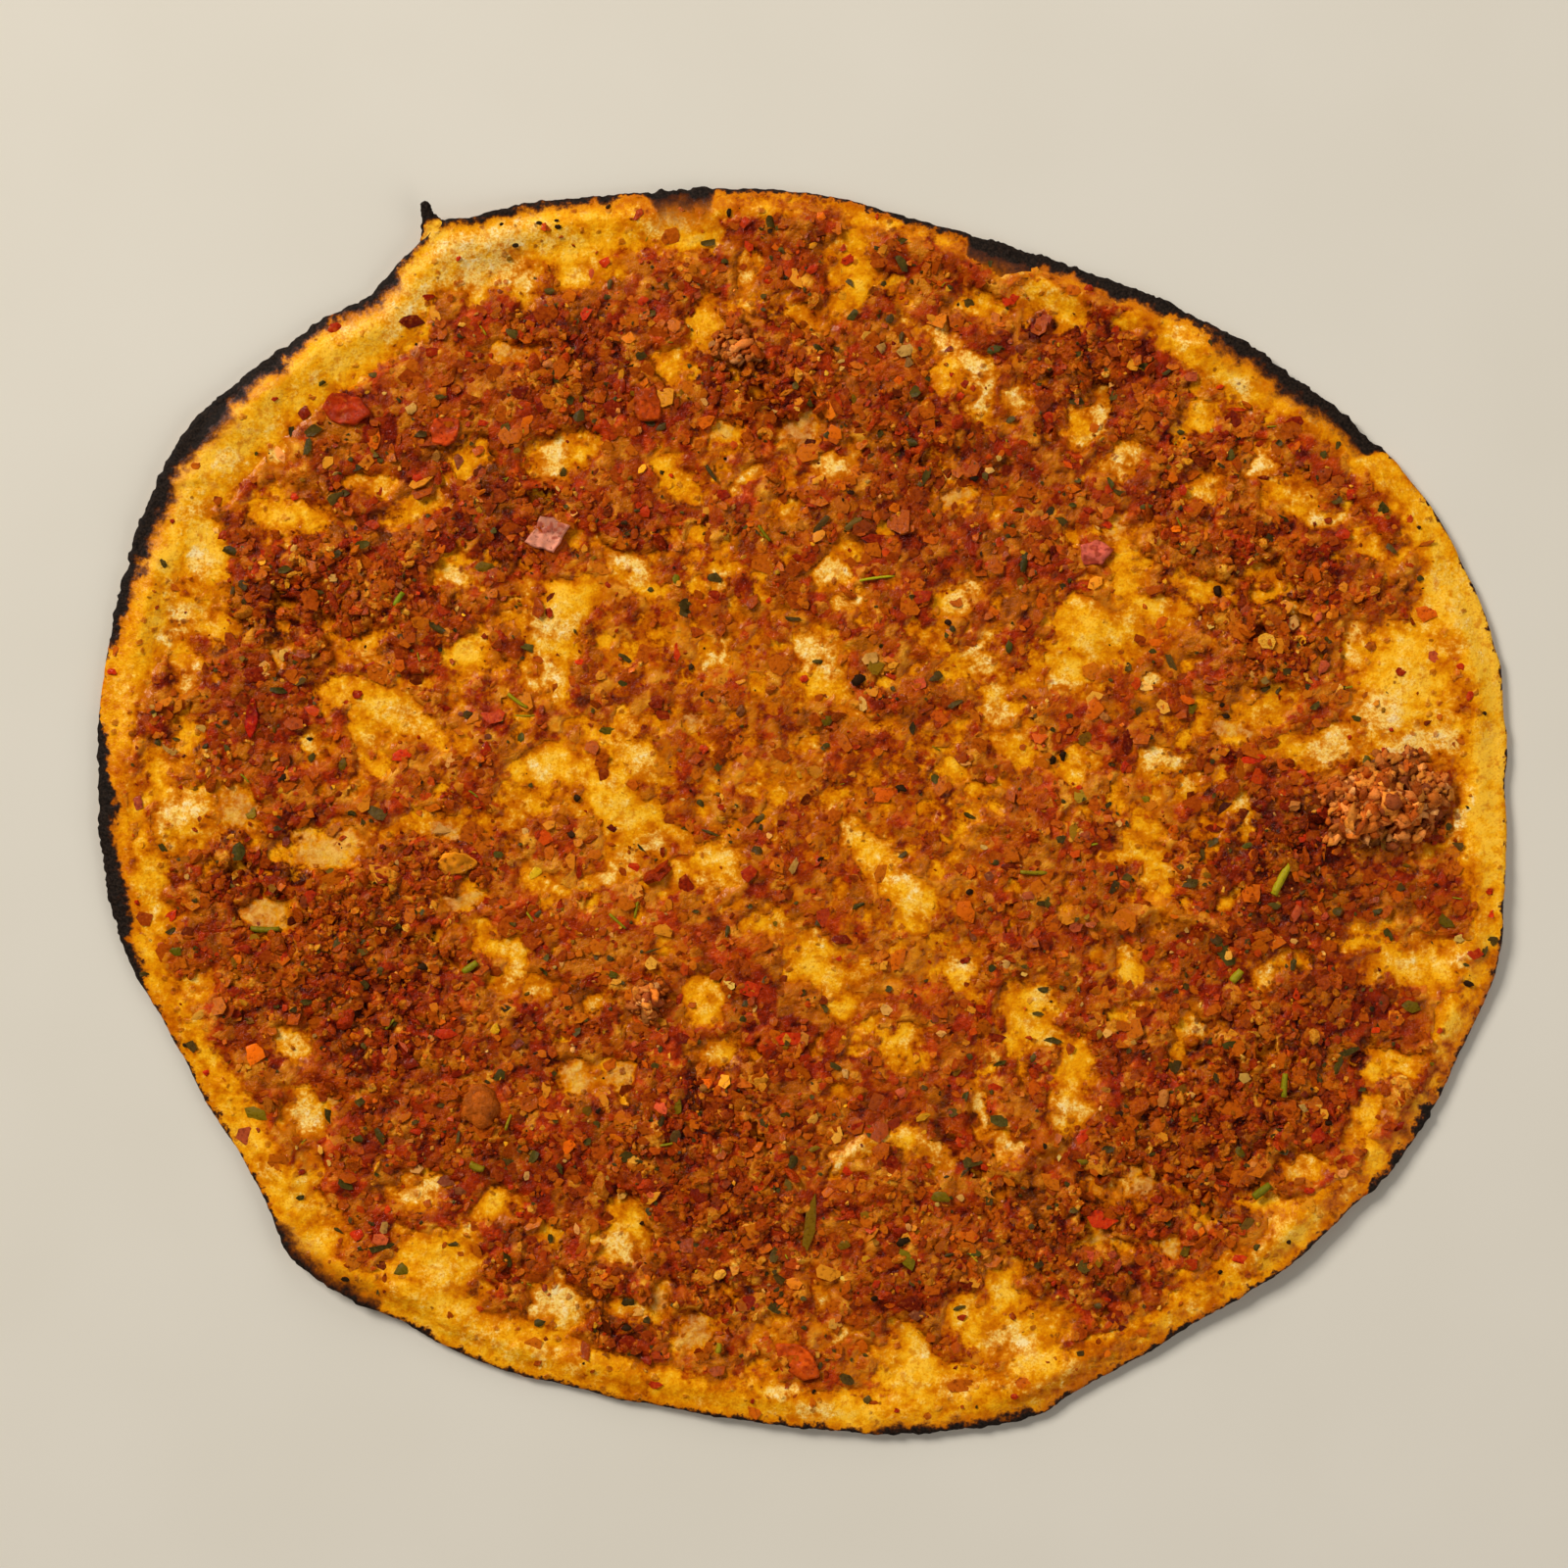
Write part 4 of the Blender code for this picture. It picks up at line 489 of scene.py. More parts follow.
def bare_level(x, y):
    """Millimetres inside a bare place (above 0) or inside the spread (below),
    with the share of cream and of grey dough there."""
    b, r = polar(x, y)
    inset = edge_radius(b) - r
    rim = around(RIM_WIDTHS, b) - inset + 2.6 * noise1(x, y, 13.0, 59)
    level = np.minimum(rim, around(RIM_GLOW, b))
    cream = smooth(0.5, 4.0, rim) * smooth(1.2, 4.5, inset) * np.clip(
        0.80 * around(RIM_PALE, b) + 0.6 * fbm(x, y, 15.0, 62, 3), 0, 0.85)
    thin = np.clip(1.15 * spots(x, y, thin_list) + 0.22 * fbm(x, y, 12.0, 65, 3), 0, 1)
    veil = -3.4 + 2.7 * thin + 0.9 * fbm(x, y, 7.0, 67, 3)
    near1, _, tag = cells(x + 1.4 * noise1(x, y, 3.6, 71) + 0.7 * noise1(x, y, 1.7, 73),
                          y + 1.4 * noise1(x, y, 3.6, 75) + 0.7 * noise1(x, y, 1.7, 77), 4.6, 79)
    spot = np.where(tag < 0.30 * thin, 1.7 - 3.6 * near1, -9.0)
    veil = np.maximum(np.minimum(veil, -0.75), np.minimum(spot, 1.6))
    level = np.maximum(level, np.where(thin > 0.02, veil, -9.0))
    grey = np.zeros(x.shape)
    wx = x + 1.8 * noise1(x, y, 8.0, 41) + 2.0 * noise1(x, y, 3.7, 43) + 1.1 * noise1(x, y, 1.8, 45)
    wy = y + 1.8 * noise1(x, y, 8.0, 47) + 2.0 * noise1(x, y, 3.7, 53) + 1.1 * noise1(x, y, 1.8, 55)
    for kind, cx, cy, a, c, t in bare_list:
        near = np.abs(wx - cx) + np.abs(wy - cy) < 2.6 * (a + c)
        if not near.any():
            continue
        ux, uy = wx[near] - cx, wy[near] - cy
        u = (ux * math.cos(t) + uy * math.sin(t)) / a
        v = (-ux * math.sin(t) + uy * math.cos(t)) / c
        q = np.hypot(u, v)
        inside = np.minimum((1.14 - q) * (min(a, c) * 0.95 + 0.7) + 0.3, 5.0)
        level[near] = np.maximum(level[near], inside)
        weight = 1.0 - smooth(0.35, 1.40, q)
        if kind in "cy":
            cream[near] = np.maximum(cream[near], weight * (0.95 if kind == "c" else 0.30))
        elif kind == "g":
            grey[near] = np.maximum(grey[near], weight)
    level = level + 1.55 * fbm(x, y, 5.2, 61, 4, 0.65)
    return level, cream, grey, inset, b


def spots(x, y, table):
    total = np.zeros(x.shape)
    for cx, cy, size, value in table:
        total += value * np.exp(-(((x - cx) ** 2 + (y - cy) ** 2) / size ** 2))
    return total


# The field: a square grid over the whole bread.
STEP = 0.735
nx = int(2 * 166 / STEP) + 1
ny = int(2 * 148 / STEP) + 1
gx = (np.arange(nx) - (nx - 1) / 2) * STEP
gy = (np.arange(ny) - (ny - 1) / 2) * STEP
GX, GY = np.meshgrid(gx, gy)           # rows run along y
level, cream, grey, inset, bearing = bare_level(GX, GY)
z_bread = underside(GX, GY) + bread_thickness(GX, GY)
coarse = np.clip(spots(GX, GY, coarse_list), 0, 1)
coarse = np.clip(coarse + 0.25 * fbm(GX, GY, 16.0, 71, 2), 0, 1)
tone = spots(GX, GY, tone_list)

warp_x = GX + 1.1 * noise1(GX, GY, 3.0, 81) + 0.5 * noise1(GX, GY, 1.3, 83)
warp_y = GY + 1.1 * noise1(GX, GY, 3.0, 87) + 0.5 * noise1(GX, GY, 1.3, 89)
big_d, big_e, big_tag = cells(warp_x, warp_y, 5.8, 101)
mid_d, mid_e, mid_tag = cells(warp_x + 40, warp_y, 3.2, 113)
low_d, low_e, low_tag = cells(warp_x, warp_y + 60, 1.9, 127)


def dome(d, tag, reach):
    return np.sqrt(np.clip(1.0 - (d / reach) ** 2, 0, 1)) * (0.35 + 0.9 * tag)


cover = smooth(-0.4, 2.6, -level)
heap = np.zeros_like(GX)
for hx, hy, size, height in HEAPS:
    d = np.hypot(GX - hx, GY - hy) / size
    heap += height * np.clip(1.0 - d * d, 0, 1)
lumpy = ((0.30 + 0.85 * coarse) * dome(big_d, big_tag, 0.62)
         + (0.35 + 0.55 * coarse) * dome(mid_d, mid_tag, 0.66)
         + (0.22 + 0.20 * coarse) * dome(low_d, low_tag, 0.70))
mince = 0.42 + 0.75 * heap + lumpy + 0.22 * fbm(GX, GY, 9.0, 131, 3)
z_mince = z_bread + 0.12 + cover * mince - 0.55 * smooth(0.3, 1.1, level)
z_top = np.maximum(z_bread, z_mince)


blur = z_mince.copy()
for _ in range(6):
    blur = 0.25 * (np.roll(blur, 1, 0) + np.roll(blur, -1, 0)
                   + np.roll(blur, 1, 1) + np.roll(blur, -1, 1))
proud = z_mince - blur                 # above 0 on lumps, below in crevices
# Listed and random tone of the mince, plus painted light and shade from the relief: the proud term darkens the crevices
# and lightens the lump tops
tone_and_relief_shading = (0.52 + tone + 0.22 * (big_tag - 0.5) + 0.26 * (mid_tag * 7.3 % 1.0 - 0.5)
             + 0.14 * (low_tag * 5.7 % 1.0 - 0.5) + 0.12 * fbm(GX, GY, 26.0, 141, 3)
             + np.clip(0.55 * proud, -0.30, 0.14) - 0.02)
hue = mid_tag * 23.7 % 1.0
hue_big = big_tag * 31.3 % 1.0
red_grid = np.clip((hue > 0.80) * 0.85 + (hue_big > 0.85) * 0.7
                   + 0.5 * np.clip(fbm(GX, GY, 20.0, 151, 3) + 0.05, 0, 1), 0, 1)
amber_grid = np.clip((hue < 0.24) * 0.8 + (hue_big < 0.12) * 0.6, 0, 1) * (1.0 - red_grid)


def sample(field, x, y):
    """The field's value at any places, in mm."""
    u = np.clip((np.asarray(x) - gx[0]) / STEP, 0, nx - 1.001)
    v = np.clip((np.asarray(y) - gy[0]) / STEP, 0, ny - 1.001)
    i, j = np.floor(u).astype(int), np.floor(v).astype(int)
    fu, fv = u - i, v - j
    return ((field[j, i] * (1 - fu) + field[j, i + 1] * fu) * (1 - fv)
            + (field[j + 1, i] * (1 - fu) + field[j + 1, i + 1] * fu) * fv)


# ---------------------------------------------------------------- mesh making
def new_object(name, verts, faces, mat, attributes=None, sharp=None):
    """verts in mm, before the outline is centred on the origin."""
    v = np.array(verts, np.float64)
    v[:, 0] -= MID_X
    v[:, 1] -= MID_Y
    v *= MM
    faces = np.asarray(faces, np.int32)
    mesh = bpy.data.meshes.new(name)
    mesh.vertices.add(len(v))
    mesh.vertices.foreach_set("co", v.astype(np.float32).ravel())
    sides = faces.shape[1]
    mesh.loops.add(faces.size)
    mesh.loops.foreach_set("vertex_index", faces.ravel())
    mesh.polygons.add(len(faces))
    mesh.polygons.foreach_set("loop_start", np.arange(0, faces.size, sides, dtype=np.int32))
    mesh.polygons.foreach_set("loop_total", np.full(len(faces), sides, np.int32))
    mesh.update(calc_edges=True)
    mesh.validate()
    for key, value in (attributes or {}).items():
        value = np.asarray(value, np.float32)
        if value.ndim == 2:
            if value.shape[1] == 3:
                value = np.hstack([value, np.ones((len(value), 1), np.float32)])
            a = mesh.attributes.new(key, "FLOAT_COLOR", "POINT")
            a.data.foreach_set("color", value.ravel())
        else:
            a = mesh.attributes.new(key, "FLOAT", "POINT")
            a.data.foreach_set("value", value)
    mesh.shade_smooth()
    if sharp is not None:
        mesh.set_sharp_from_angle(angle=math.radians(sharp))
    mesh.materials.append(mat)
    obj = bpy.data.objects.new(name, mesh)
    bpy.context.scene.collection.objects.link(obj)
    return obj


# ------------------------------------------------------------------ materials
def lin(r, g, b):
    out = []
    for c in (r, g, b):
        c /= 255.0
        out.append(c / 12.92 if c <= 0.04045 else ((c + 0.055) / 1.055) ** 2.4)
    return tuple(out)


class Look:
    """A Principled material and short names for its nodes."""

    def __init__(self, name, specular=0.15):
        self.mat = bpy.data.materials.new(name)
        self.mat.use_nodes = True
        self.t = self.mat.node_tree
        self.shader = self.t.nodes["Principled BSDF"]
        self.shader.inputs["Specular IOR Level"].default_value = specular
        self.coord = self.t.nodes.new("ShaderNodeTexCoord").outputs["Object"]

    def put(self, node, socket, value):
        s = node.inputs[socket]
        if isinstance(value, bpy.types.NodeSocket):
            self.t.links.new(value, s)
        else:
            if isinstance(value, tuple) and len(value) == 3 and s.type == "RGBA":
                value = (*value, 1.0)
            s.default_value = value

    def attr(self, name, colour=False):
        n = self.t.nodes.new("ShaderNodeAttribute")
        n.attribute_name = name
        return n.outputs["Color" if colour else "Fac"]

    def split(self, colour):
        n = self.t.nodes.new("ShaderNodeSeparateColor")
        self.t.links.new(colour, n.inputs[0])
        return n.outputs[0], n.outputs[1], n.outputs[2]

    def math(self, op, a, b=0.0, c=0.0, clamp=False):
        n = self.t.nodes.new("ShaderNodeMath")
        n.operation = op
        n.use_clamp = clamp
        for k, value in enumerate((a, b, c)):
            self.put(n, k, value)
        return n.outputs[0]

    def noise(self, size_mm, detail=3.0, rough=0.55, distort=0.0, coord=None, colour=False):
        n = self.t.nodes.new("ShaderNodeTexNoise")
        self.t.links.new(coord or self.coord, n.inputs["Vector"])
        n.inputs["Scale"].default_value = 1000.0 / size_mm
        n.inputs["Detail"].default_value = detail
        n.inputs["Roughness"].default_value = rough
        n.inputs["Distortion"].default_value = distort
        return n.outputs["Color" if colour else "Fac"]

    def warped(self, size_mm, amount_mm):
        """The place, pushed about by noise, so that cells look torn."""
        n = self.noise(size_mm, 2.0, 0.5, colour=True)
        v = self.t.nodes.new("ShaderNodeVectorMath")
        v.operation = "MULTIPLY_ADD"
        self.t.links.new(n, v.inputs[0])
        v.inputs[1].default_value = (amount_mm * 2 * MM,) * 3
        self.t.links.new(self.coord, v.inputs[2])
        return v.outputs[0]

    def voronoi(self, size_mm, coord=None, feature="F1", out="Distance"):
        n = self.t.nodes.new("ShaderNodeTexVoronoi")
        n.feature = feature
        self.t.links.new(coord or self.coord, n.inputs["Vector"])
        n.inputs["Scale"].default_value = 1000.0 / size_mm
        return n.outputs[out]

    def ramp(self, value, stops, ease="LINEAR"):
        n = self.t.nodes.new("ShaderNodeValToRGB")
        n.color_ramp.interpolation = ease
        e = n.color_ramp.elements
        while len(e) < len(stops):
            e.new(0.5)
        for k, (at, colour) in enumerate(stops):
            e[k].position = at
            e[k].color = (*colour, 1.0)
        self.t.links.new(value, n.inputs[0])
        return n.outputs[0]

    def mix(self, factor, a, b, kind="MIX"):
        n = self.t.nodes.new("ShaderNodeMix")
        n.data_type = "RGBA"
        n.blend_type = kind
        n.clamp_factor = True
        self.put(n, 0, factor)
        self.put(n, 6, a)
        self.put(n, 7, b)
        return n.outputs[2]

    def band(self, value, low, high, a=0.0, b=1.0):
        n = self.t.nodes.new("ShaderNodeMapRange")
        n.interpolation_type = "SMOOTHSTEP"
        self.put(n, 0, value)
        for k, x in enumerate((low, high, a, b)):
            n.inputs[k + 1].default_value = x
        return n.outputs[0]

    def bump(self, height, depth_mm, strength=1.0, after=None):
        n = self.t.nodes.new("ShaderNodeBump")
        n.inputs["Strength"].default_value = strength
        n.inputs["Distance"].default_value = depth_mm * MM
        self.t.links.new(height, n.inputs["Height"])
        if after is not None:
            self.t.links.new(after, n.inputs["Normal"])
        return n.outputs[0]

    def wet(self, weight, roughness):
        self.shader.inputs["Coat Weight"].default_value = weight
        self.shader.inputs["Coat Roughness"].default_value = roughness

    def done(self, colour, roughness, normal=None):
        self.put(self.shader, "Base Color", colour)
        self.put(self.shader, "Roughness", roughness)
        if normal is not None:
            self.put(self.shader, "Normal", normal)
            self.put(self.shader, "Coat Normal", normal)
        return self.mat


CHAR_BLACK = lin(19, 14, 10)
CHAR_GREY = lin(46, 35, 27)
CHAR_PURPLE = lin(64, 31, 17)
CHAR_BROWN = lin(122, 58, 10)
DOUGH_STOPS = [(0.0, lin(156, 66, 0)), (0.20, lin(186, 89, 0)), (0.40, lin(208, 116, 1)),
               (0.60, lin(229, 146, 6)), (0.82, lin(242, 168, 20)), (1.0, lin(247, 184, 46))]
MINCE_STOPS = [(0.0, lin(56, 10, 0)), (0.12, lin(94, 20, 0)), (0.27, lin(127, 38, 0)),
               (0.45, lin(153, 56, 0)), (0.62, lin(173, 75, 1)), (0.78, lin(195, 98, 5)),
               (0.92, lin(222, 142, 28)), (1.0, lin(242, 182, 70))]
RUDDY_STOPS = [(0.1, lin(74, 8, 0)), (0.45, lin(142, 29, 2)), (0.7, lin(180, 48, 5)),
               (0.98, lin(218, 88, 22))]
AMBER_STOPS = [(0.1, lin(108, 48, 0)), (0.5, lin(188, 102, 5)), (0.95, lin(236, 162, 40))]


def food_material(name, on_bread):
    """Dough where it is bare, mince where it isn't, and between them dough
    stained by oil, with strewn grains.  Bread and spread share it, so that
    one runs into the other."""
    m = Look(name, specular=0.05)
    m.wet(0.0 if on_bread else 0.045, 0.06)
    level, pale, ash, t = (m.attr(k) for k in ("level", "cream", "grey", "tone"))
    mid = m.noise(3.8, 3.0, 0.6)
    fine = m.noise(1.35, 3.0, 0.62)
    tiny = m.noise(0.55, 2.0, 0.6)
    curd = m.noise(2.6, 2.0, 0.5)
    blotch = m.noise(7.0, 3.0, 0.55)
    torn = m.warped(2.3, 0.95)
    grain = m.voronoi(2.3, torn)
    r1, r2, r3 = m.split(m.voronoi(2.3, torn, out="Color"))

    def add(*terms):
        total = terms[0]
        for value, weight, centre in terms[1:]:
            total = m.math("ADD", total, m.math("MULTIPLY_ADD", value, weight, -weight * centre))
        return total

    # dough, stained near the spread
    depth = add(level, (mid, 10.0, 0.5), (fine, 4.5, 0.5), (tiny, 1.5, 0.5), (blotch, -6.0, 0.5))
    dough = m.ramp(m.math("MULTIPLY_ADD", depth, 1 / 6.5, 1.5 / 6.5), DOUGH_STOPS)
    c = add(pale, (fine, 1.9, 0.5), (mid, 1.7, 0.5), (tiny, 0.6, 0.5), (blotch, 1.5, 0.53))
    c = m.math("MULTIPLY", m.band(c, 0.22, 1.15), m.band(depth, 0.2, 3.4))
    dough = m.mix(c, dough, m.ramp(tiny, [(0.3, lin(242, 180, 62)), (0.68, lin(248, 210, 116))]))
    stain = m.noise(2.4, 4.0, 0.6)
    white = m.math("MULTIPLY", m.band(stain, 0.50, 0.36), m.band(c, 0.35, 0.90, 0.0, 0.62))
    dough = m.mix(white, dough, lin(247, 224, 166))
    dough = m.mix(m.band(stain, 0.53, 0.68, 0.0, 0.70), dough, lin(208, 118, 6))
    g = add(ash, (fine, 2.2, 0.5))
    dough = m.mix(m.band(g, 0.35, 1.05, 0.0, 0.50), dough, m.ramp(fine, [(0.4, lin(178, 122, 56)),
                                                                         (0.6, lin(214, 166, 96))]))
    dough = m.mix(m.band(tiny, 0.50, 0.30, 0.0, 0.50), dough, lin(204, 112, 6))
    # mince
    grit = m.math("MULTIPLY_ADD", m.attr("coarse"), 0.75, 0.55)
    v = add(m.math("MULTIPLY", tiny, 0.0), (fine, 0.52, 0.5), (curd, 0.50, 0.5), (tiny, 0.26, 0.5), (r1, 0.22, 0.5))
    # darker along the edges of the grain cells, where the bump below dips: painted shade in the crevices between grains
    v = m.math("SUBTRACT", v, m.band(grain, 0.40, 0.85, 0.0, 0.12))
    v = m.math("MULTIPLY_ADD", v, grit, add(t, (mid, 0.75, 0.5)))
    v = m.math("ADD", v, m.band(level, -1.5, 0.3, -0.01, 0.06))
    mince = m.ramp(v, MINCE_STOPS)
    red = m.math("MAXIMUM", m.attr("red"), m.band(r2, 0.82, 0.92, 0.0, 0.7))
    mince = m.mix(m.math("MULTIPLY", red, 0.9), mince, m.ramp(v, RUDDY_STOPS))
    amber = m.math("MAXIMUM", m.attr("amber"), m.band(r3, 0.82, 0.92, 0.0, 0.7))
    mince = m.mix(m.math("MULTIPLY", amber, 0.9), mince, m.ramp(v, AMBER_STOPS))
    thin = m.math("MULTIPLY", m.band(level, -1.6, 0.5), m.band(fine, 0.40, 0.62, 0.05, 0.65))
    mince = m.mix(thin, mince, m.ramp(add(v, (tiny, 0.5, 0.5)), AMBER_STOPS))
    # where the one ends and the other begins
    edge = add(level, (mid, 5.0, 0.5), (r1, 1.2, 0.5), (tiny, 1.3, 0.5), (fine, 3.6, 0.5))
    solid = m.band(edge, 1.1, -1.1)
    chance = m.band(level, 4.5, -0.5, 0.03, 0.50)
    strewn_ = m.math("MULTIPLY", m.math("GREATER_THAN", chance, r2), m.band(grain, 0.44, 0.22))
    covered = m.math("MAXIMUM", solid, m.math("MULTIPLY", strewn_, 0.75))
    base = m.mix(covered, dough, mince)
    h = m.math("MULTIPLY_ADD", tiny, 0.40, fine)
    h = m.math("MULTIPLY_ADD", grain, -0.45, h)
    h = m.math("MULTIPLY", h, m.math("MULTIPLY_ADD", covered, 0.60, 0.40))
    rough = m.math("MULTIPLY_ADD", tiny, 0.28, 0.08)
    if on_bread:
        burnt, halo, under = m.attr("burnt"), m.attr("halo"), m.attr("under")
        few = m.noise(9.0, 2.0, 0.5)
        hit = m.math("MULTIPLY", m.band(grain, 0.26, 0.12), m.band(few, 0.56, 0.68))
        base = m.mix(m.math("MULTIPLY", hit, 0.8), base, CHAR_BROWN)
        # burnt edge: a black band, then purple and brown behind it
        e = add(burnt, (fine, 4.0, 0.5), (mid, 5.0, 0.5))
        reach = m.math("DIVIDE", e, halo)
        base = m.mix(m.band(reach, -2.1, -0.8, 0.0, 0.65), base, lin(198, 104, 8))
        base = m.mix(m.band(reach, -1.3, -0.45, 0.0, 0.88), base, CHAR_BROWN)
        base = m.mix(m.band(reach, -0.8, -0.1, 0.0, 0.96), base, CHAR_PURPLE)
        black = m.ramp(tiny, [(0.40, CHAR_BLACK), (0.72, CHAR_GREY)])
        base = m.mix(m.band(e, -0.9, 0.45, 0.0, 0.98), base, black)
        toast = m.ramp(m.noise(6.0, 4.0, 0.6), [(0.30, lin(92, 52, 24)), (0.42, lin(168, 108, 50)),
                                                (0.56, lin(214, 164, 98)), (0.8, lin(232, 196, 140))])
        base = m.mix(under, base, toast)
        rough = m.math("ADD", rough, m.band(e, -0.8, 0.6, 0.0, 0.34))
    return m.done(base, rough, m.bump(h, 0.80, 0.8))


def crumb_material():
    m = Look("mince_crumb", specular=0.06)
    m.wet(0.045, 0.07)
    t, red = m.attr("tone"), m.attr("red")
    fine = m.noise(0.9, 3.0, 0.65)
    tiny = m.noise(0.35, 2.0, 0.6)
    v = m.math("MULTIPLY_ADD", fine, 0.75, m.math("ADD", t, -0.37))
    v = m.math("MULTIPLY_ADD", tiny, 0.30, m.math("ADD", v, -0.15))
    base = m.ramp(v, MINCE_STOPS)
    base = m.mix(m.band(red, 0.25, 0.95, 0.0, 0.9), base, m.ramp(v, RUDDY_STOPS))
    base = m.mix(m.band(m.attr("amber"), 0.25, 0.95, 0.0, 0.9), base, m.ramp(v, AMBER_STOPS))
    h = m.math("MULTIPLY_ADD", fine, 1.0, m.math("MULTIPLY", tiny, 0.5))
    rough = m.math("MULTIPLY_ADD", tiny, 0.34, 0.10)
    return m.done(base, rough, m.bump(h, 0.65, 0.85))


def tinted_material(name, mottle, bump_mm, rough0, specular, size=0.9, warm=lin(232, 124, 30), coat=0.0):
    """Vegetable pieces: each has its own colour, broken up by fine noise."""
    m = Look(name, specular=specular)
    m.wet(coat, 0.07)
    tint = m.attr("tint", colour=True)
    fine = m.noise(size, 3.0, 0.6)
    tiny = m.noise(0.35, 2.0, 0.6)
    # darker and lighter copies of the tint, placed by the noise that also drives the bump: partly the pieces' own
    # mottle, partly painted shade in the dips and painted highlights on the tops
    darker = m.mix(1.0, tint, lin(150, 120, 110), "MULTIPLY")
    lighter = m.mix(0.42, tint, warm)
    base = m.mix(m.band(fine, 0.28, 0.50, mottle, 0.0), tint, darker)
    base = m.mix(m.band(fine, 0.52, 0.78, 0.0, mottle), base, lighter)
    base = m.mix(m.band(tiny, 0.60, 0.80, 0.0, 0.30), base, lighter)
    h = m.math("MULTIPLY_ADD", fine, 1.0, m.math("MULTIPLY", tiny, 0.35))
    rough = m.math("MULTIPLY_ADD", tiny, 0.35, rough0)
    return m.done(base, rough, m.bump(h, bump_mm, 0.6))


bread_mat = food_material("baked_dough", True)
mince_mat = food_material("oily_mince", False)
crumb_mat = crumb_material()
veg_mat = tinted_material("wet_vegetable", 0.75, 0.34, 0.36, 0.04, coat=0.07)
leaf_mat = tinted_material("herb_leaf", 0.55, 0.22, 0.20, 0.07, size=0.7, warm=lin(136, 112, 40))
onion_mat = tinted_material("cooked_onion", 0.60, 0.24, 0.30, 0.05, warm=lin(236, 182, 100), coat=0.08)
burnt_mat = tinted_material("burnt_crumb", 0.40, 0.30, 0.50, 0.06, warm=lin(90, 60, 34))
meat_mat = tinted_material("meat_lump", 0.55, 0.70, 0.40, 0.04, size=0.8, warm=lin(216, 132, 56), coat=0.06)


# ---------------------------------------------------------------------- bread
def bread_rings():
    """Rings of the top from the edge inwards: depth from the edge in mm, or a
    share of the inner radius, and the number of points."""
    depth = [0.0, 0.12, 0.35, 0.7, 1.15, 1.7, 2.3]
    while depth[-1] < 15.5:
        depth.append(depth[-1] + 0.66)
    out = [(d, None, 1440) for d in depth]
    last = depth[-1]
    mean = 149.6 - last
    r, n = mean, 720
    while r > 8.0:
        r -= {720: 1.30, 360: 1.5, 180: 1.8, 90: 2.2, 45: 2.6}[n]
        out.append((last, r / mean, n))
        if n > 45 and r < mean * (n / 720.0) * 0.55:
            n //= 2
    return out


def ring_points(d, share, n):
    b = np.arange(n) * 360.0 / n
    r = edge_radius(b) + ragged(b) * math.exp(-d / 2.5) - d
    if share is not None:
        r = r * share
    return r * np.cos(np.radians(b)), r * np.sin(np.radians(b)), b


def rounding(d):
    """How much of the full thickness the edge has at depth d."""
    t = min(d / 1.5, 1.0)
    return math.sqrt(max(0.0, 1.0 - (1.0 - t) ** 2))


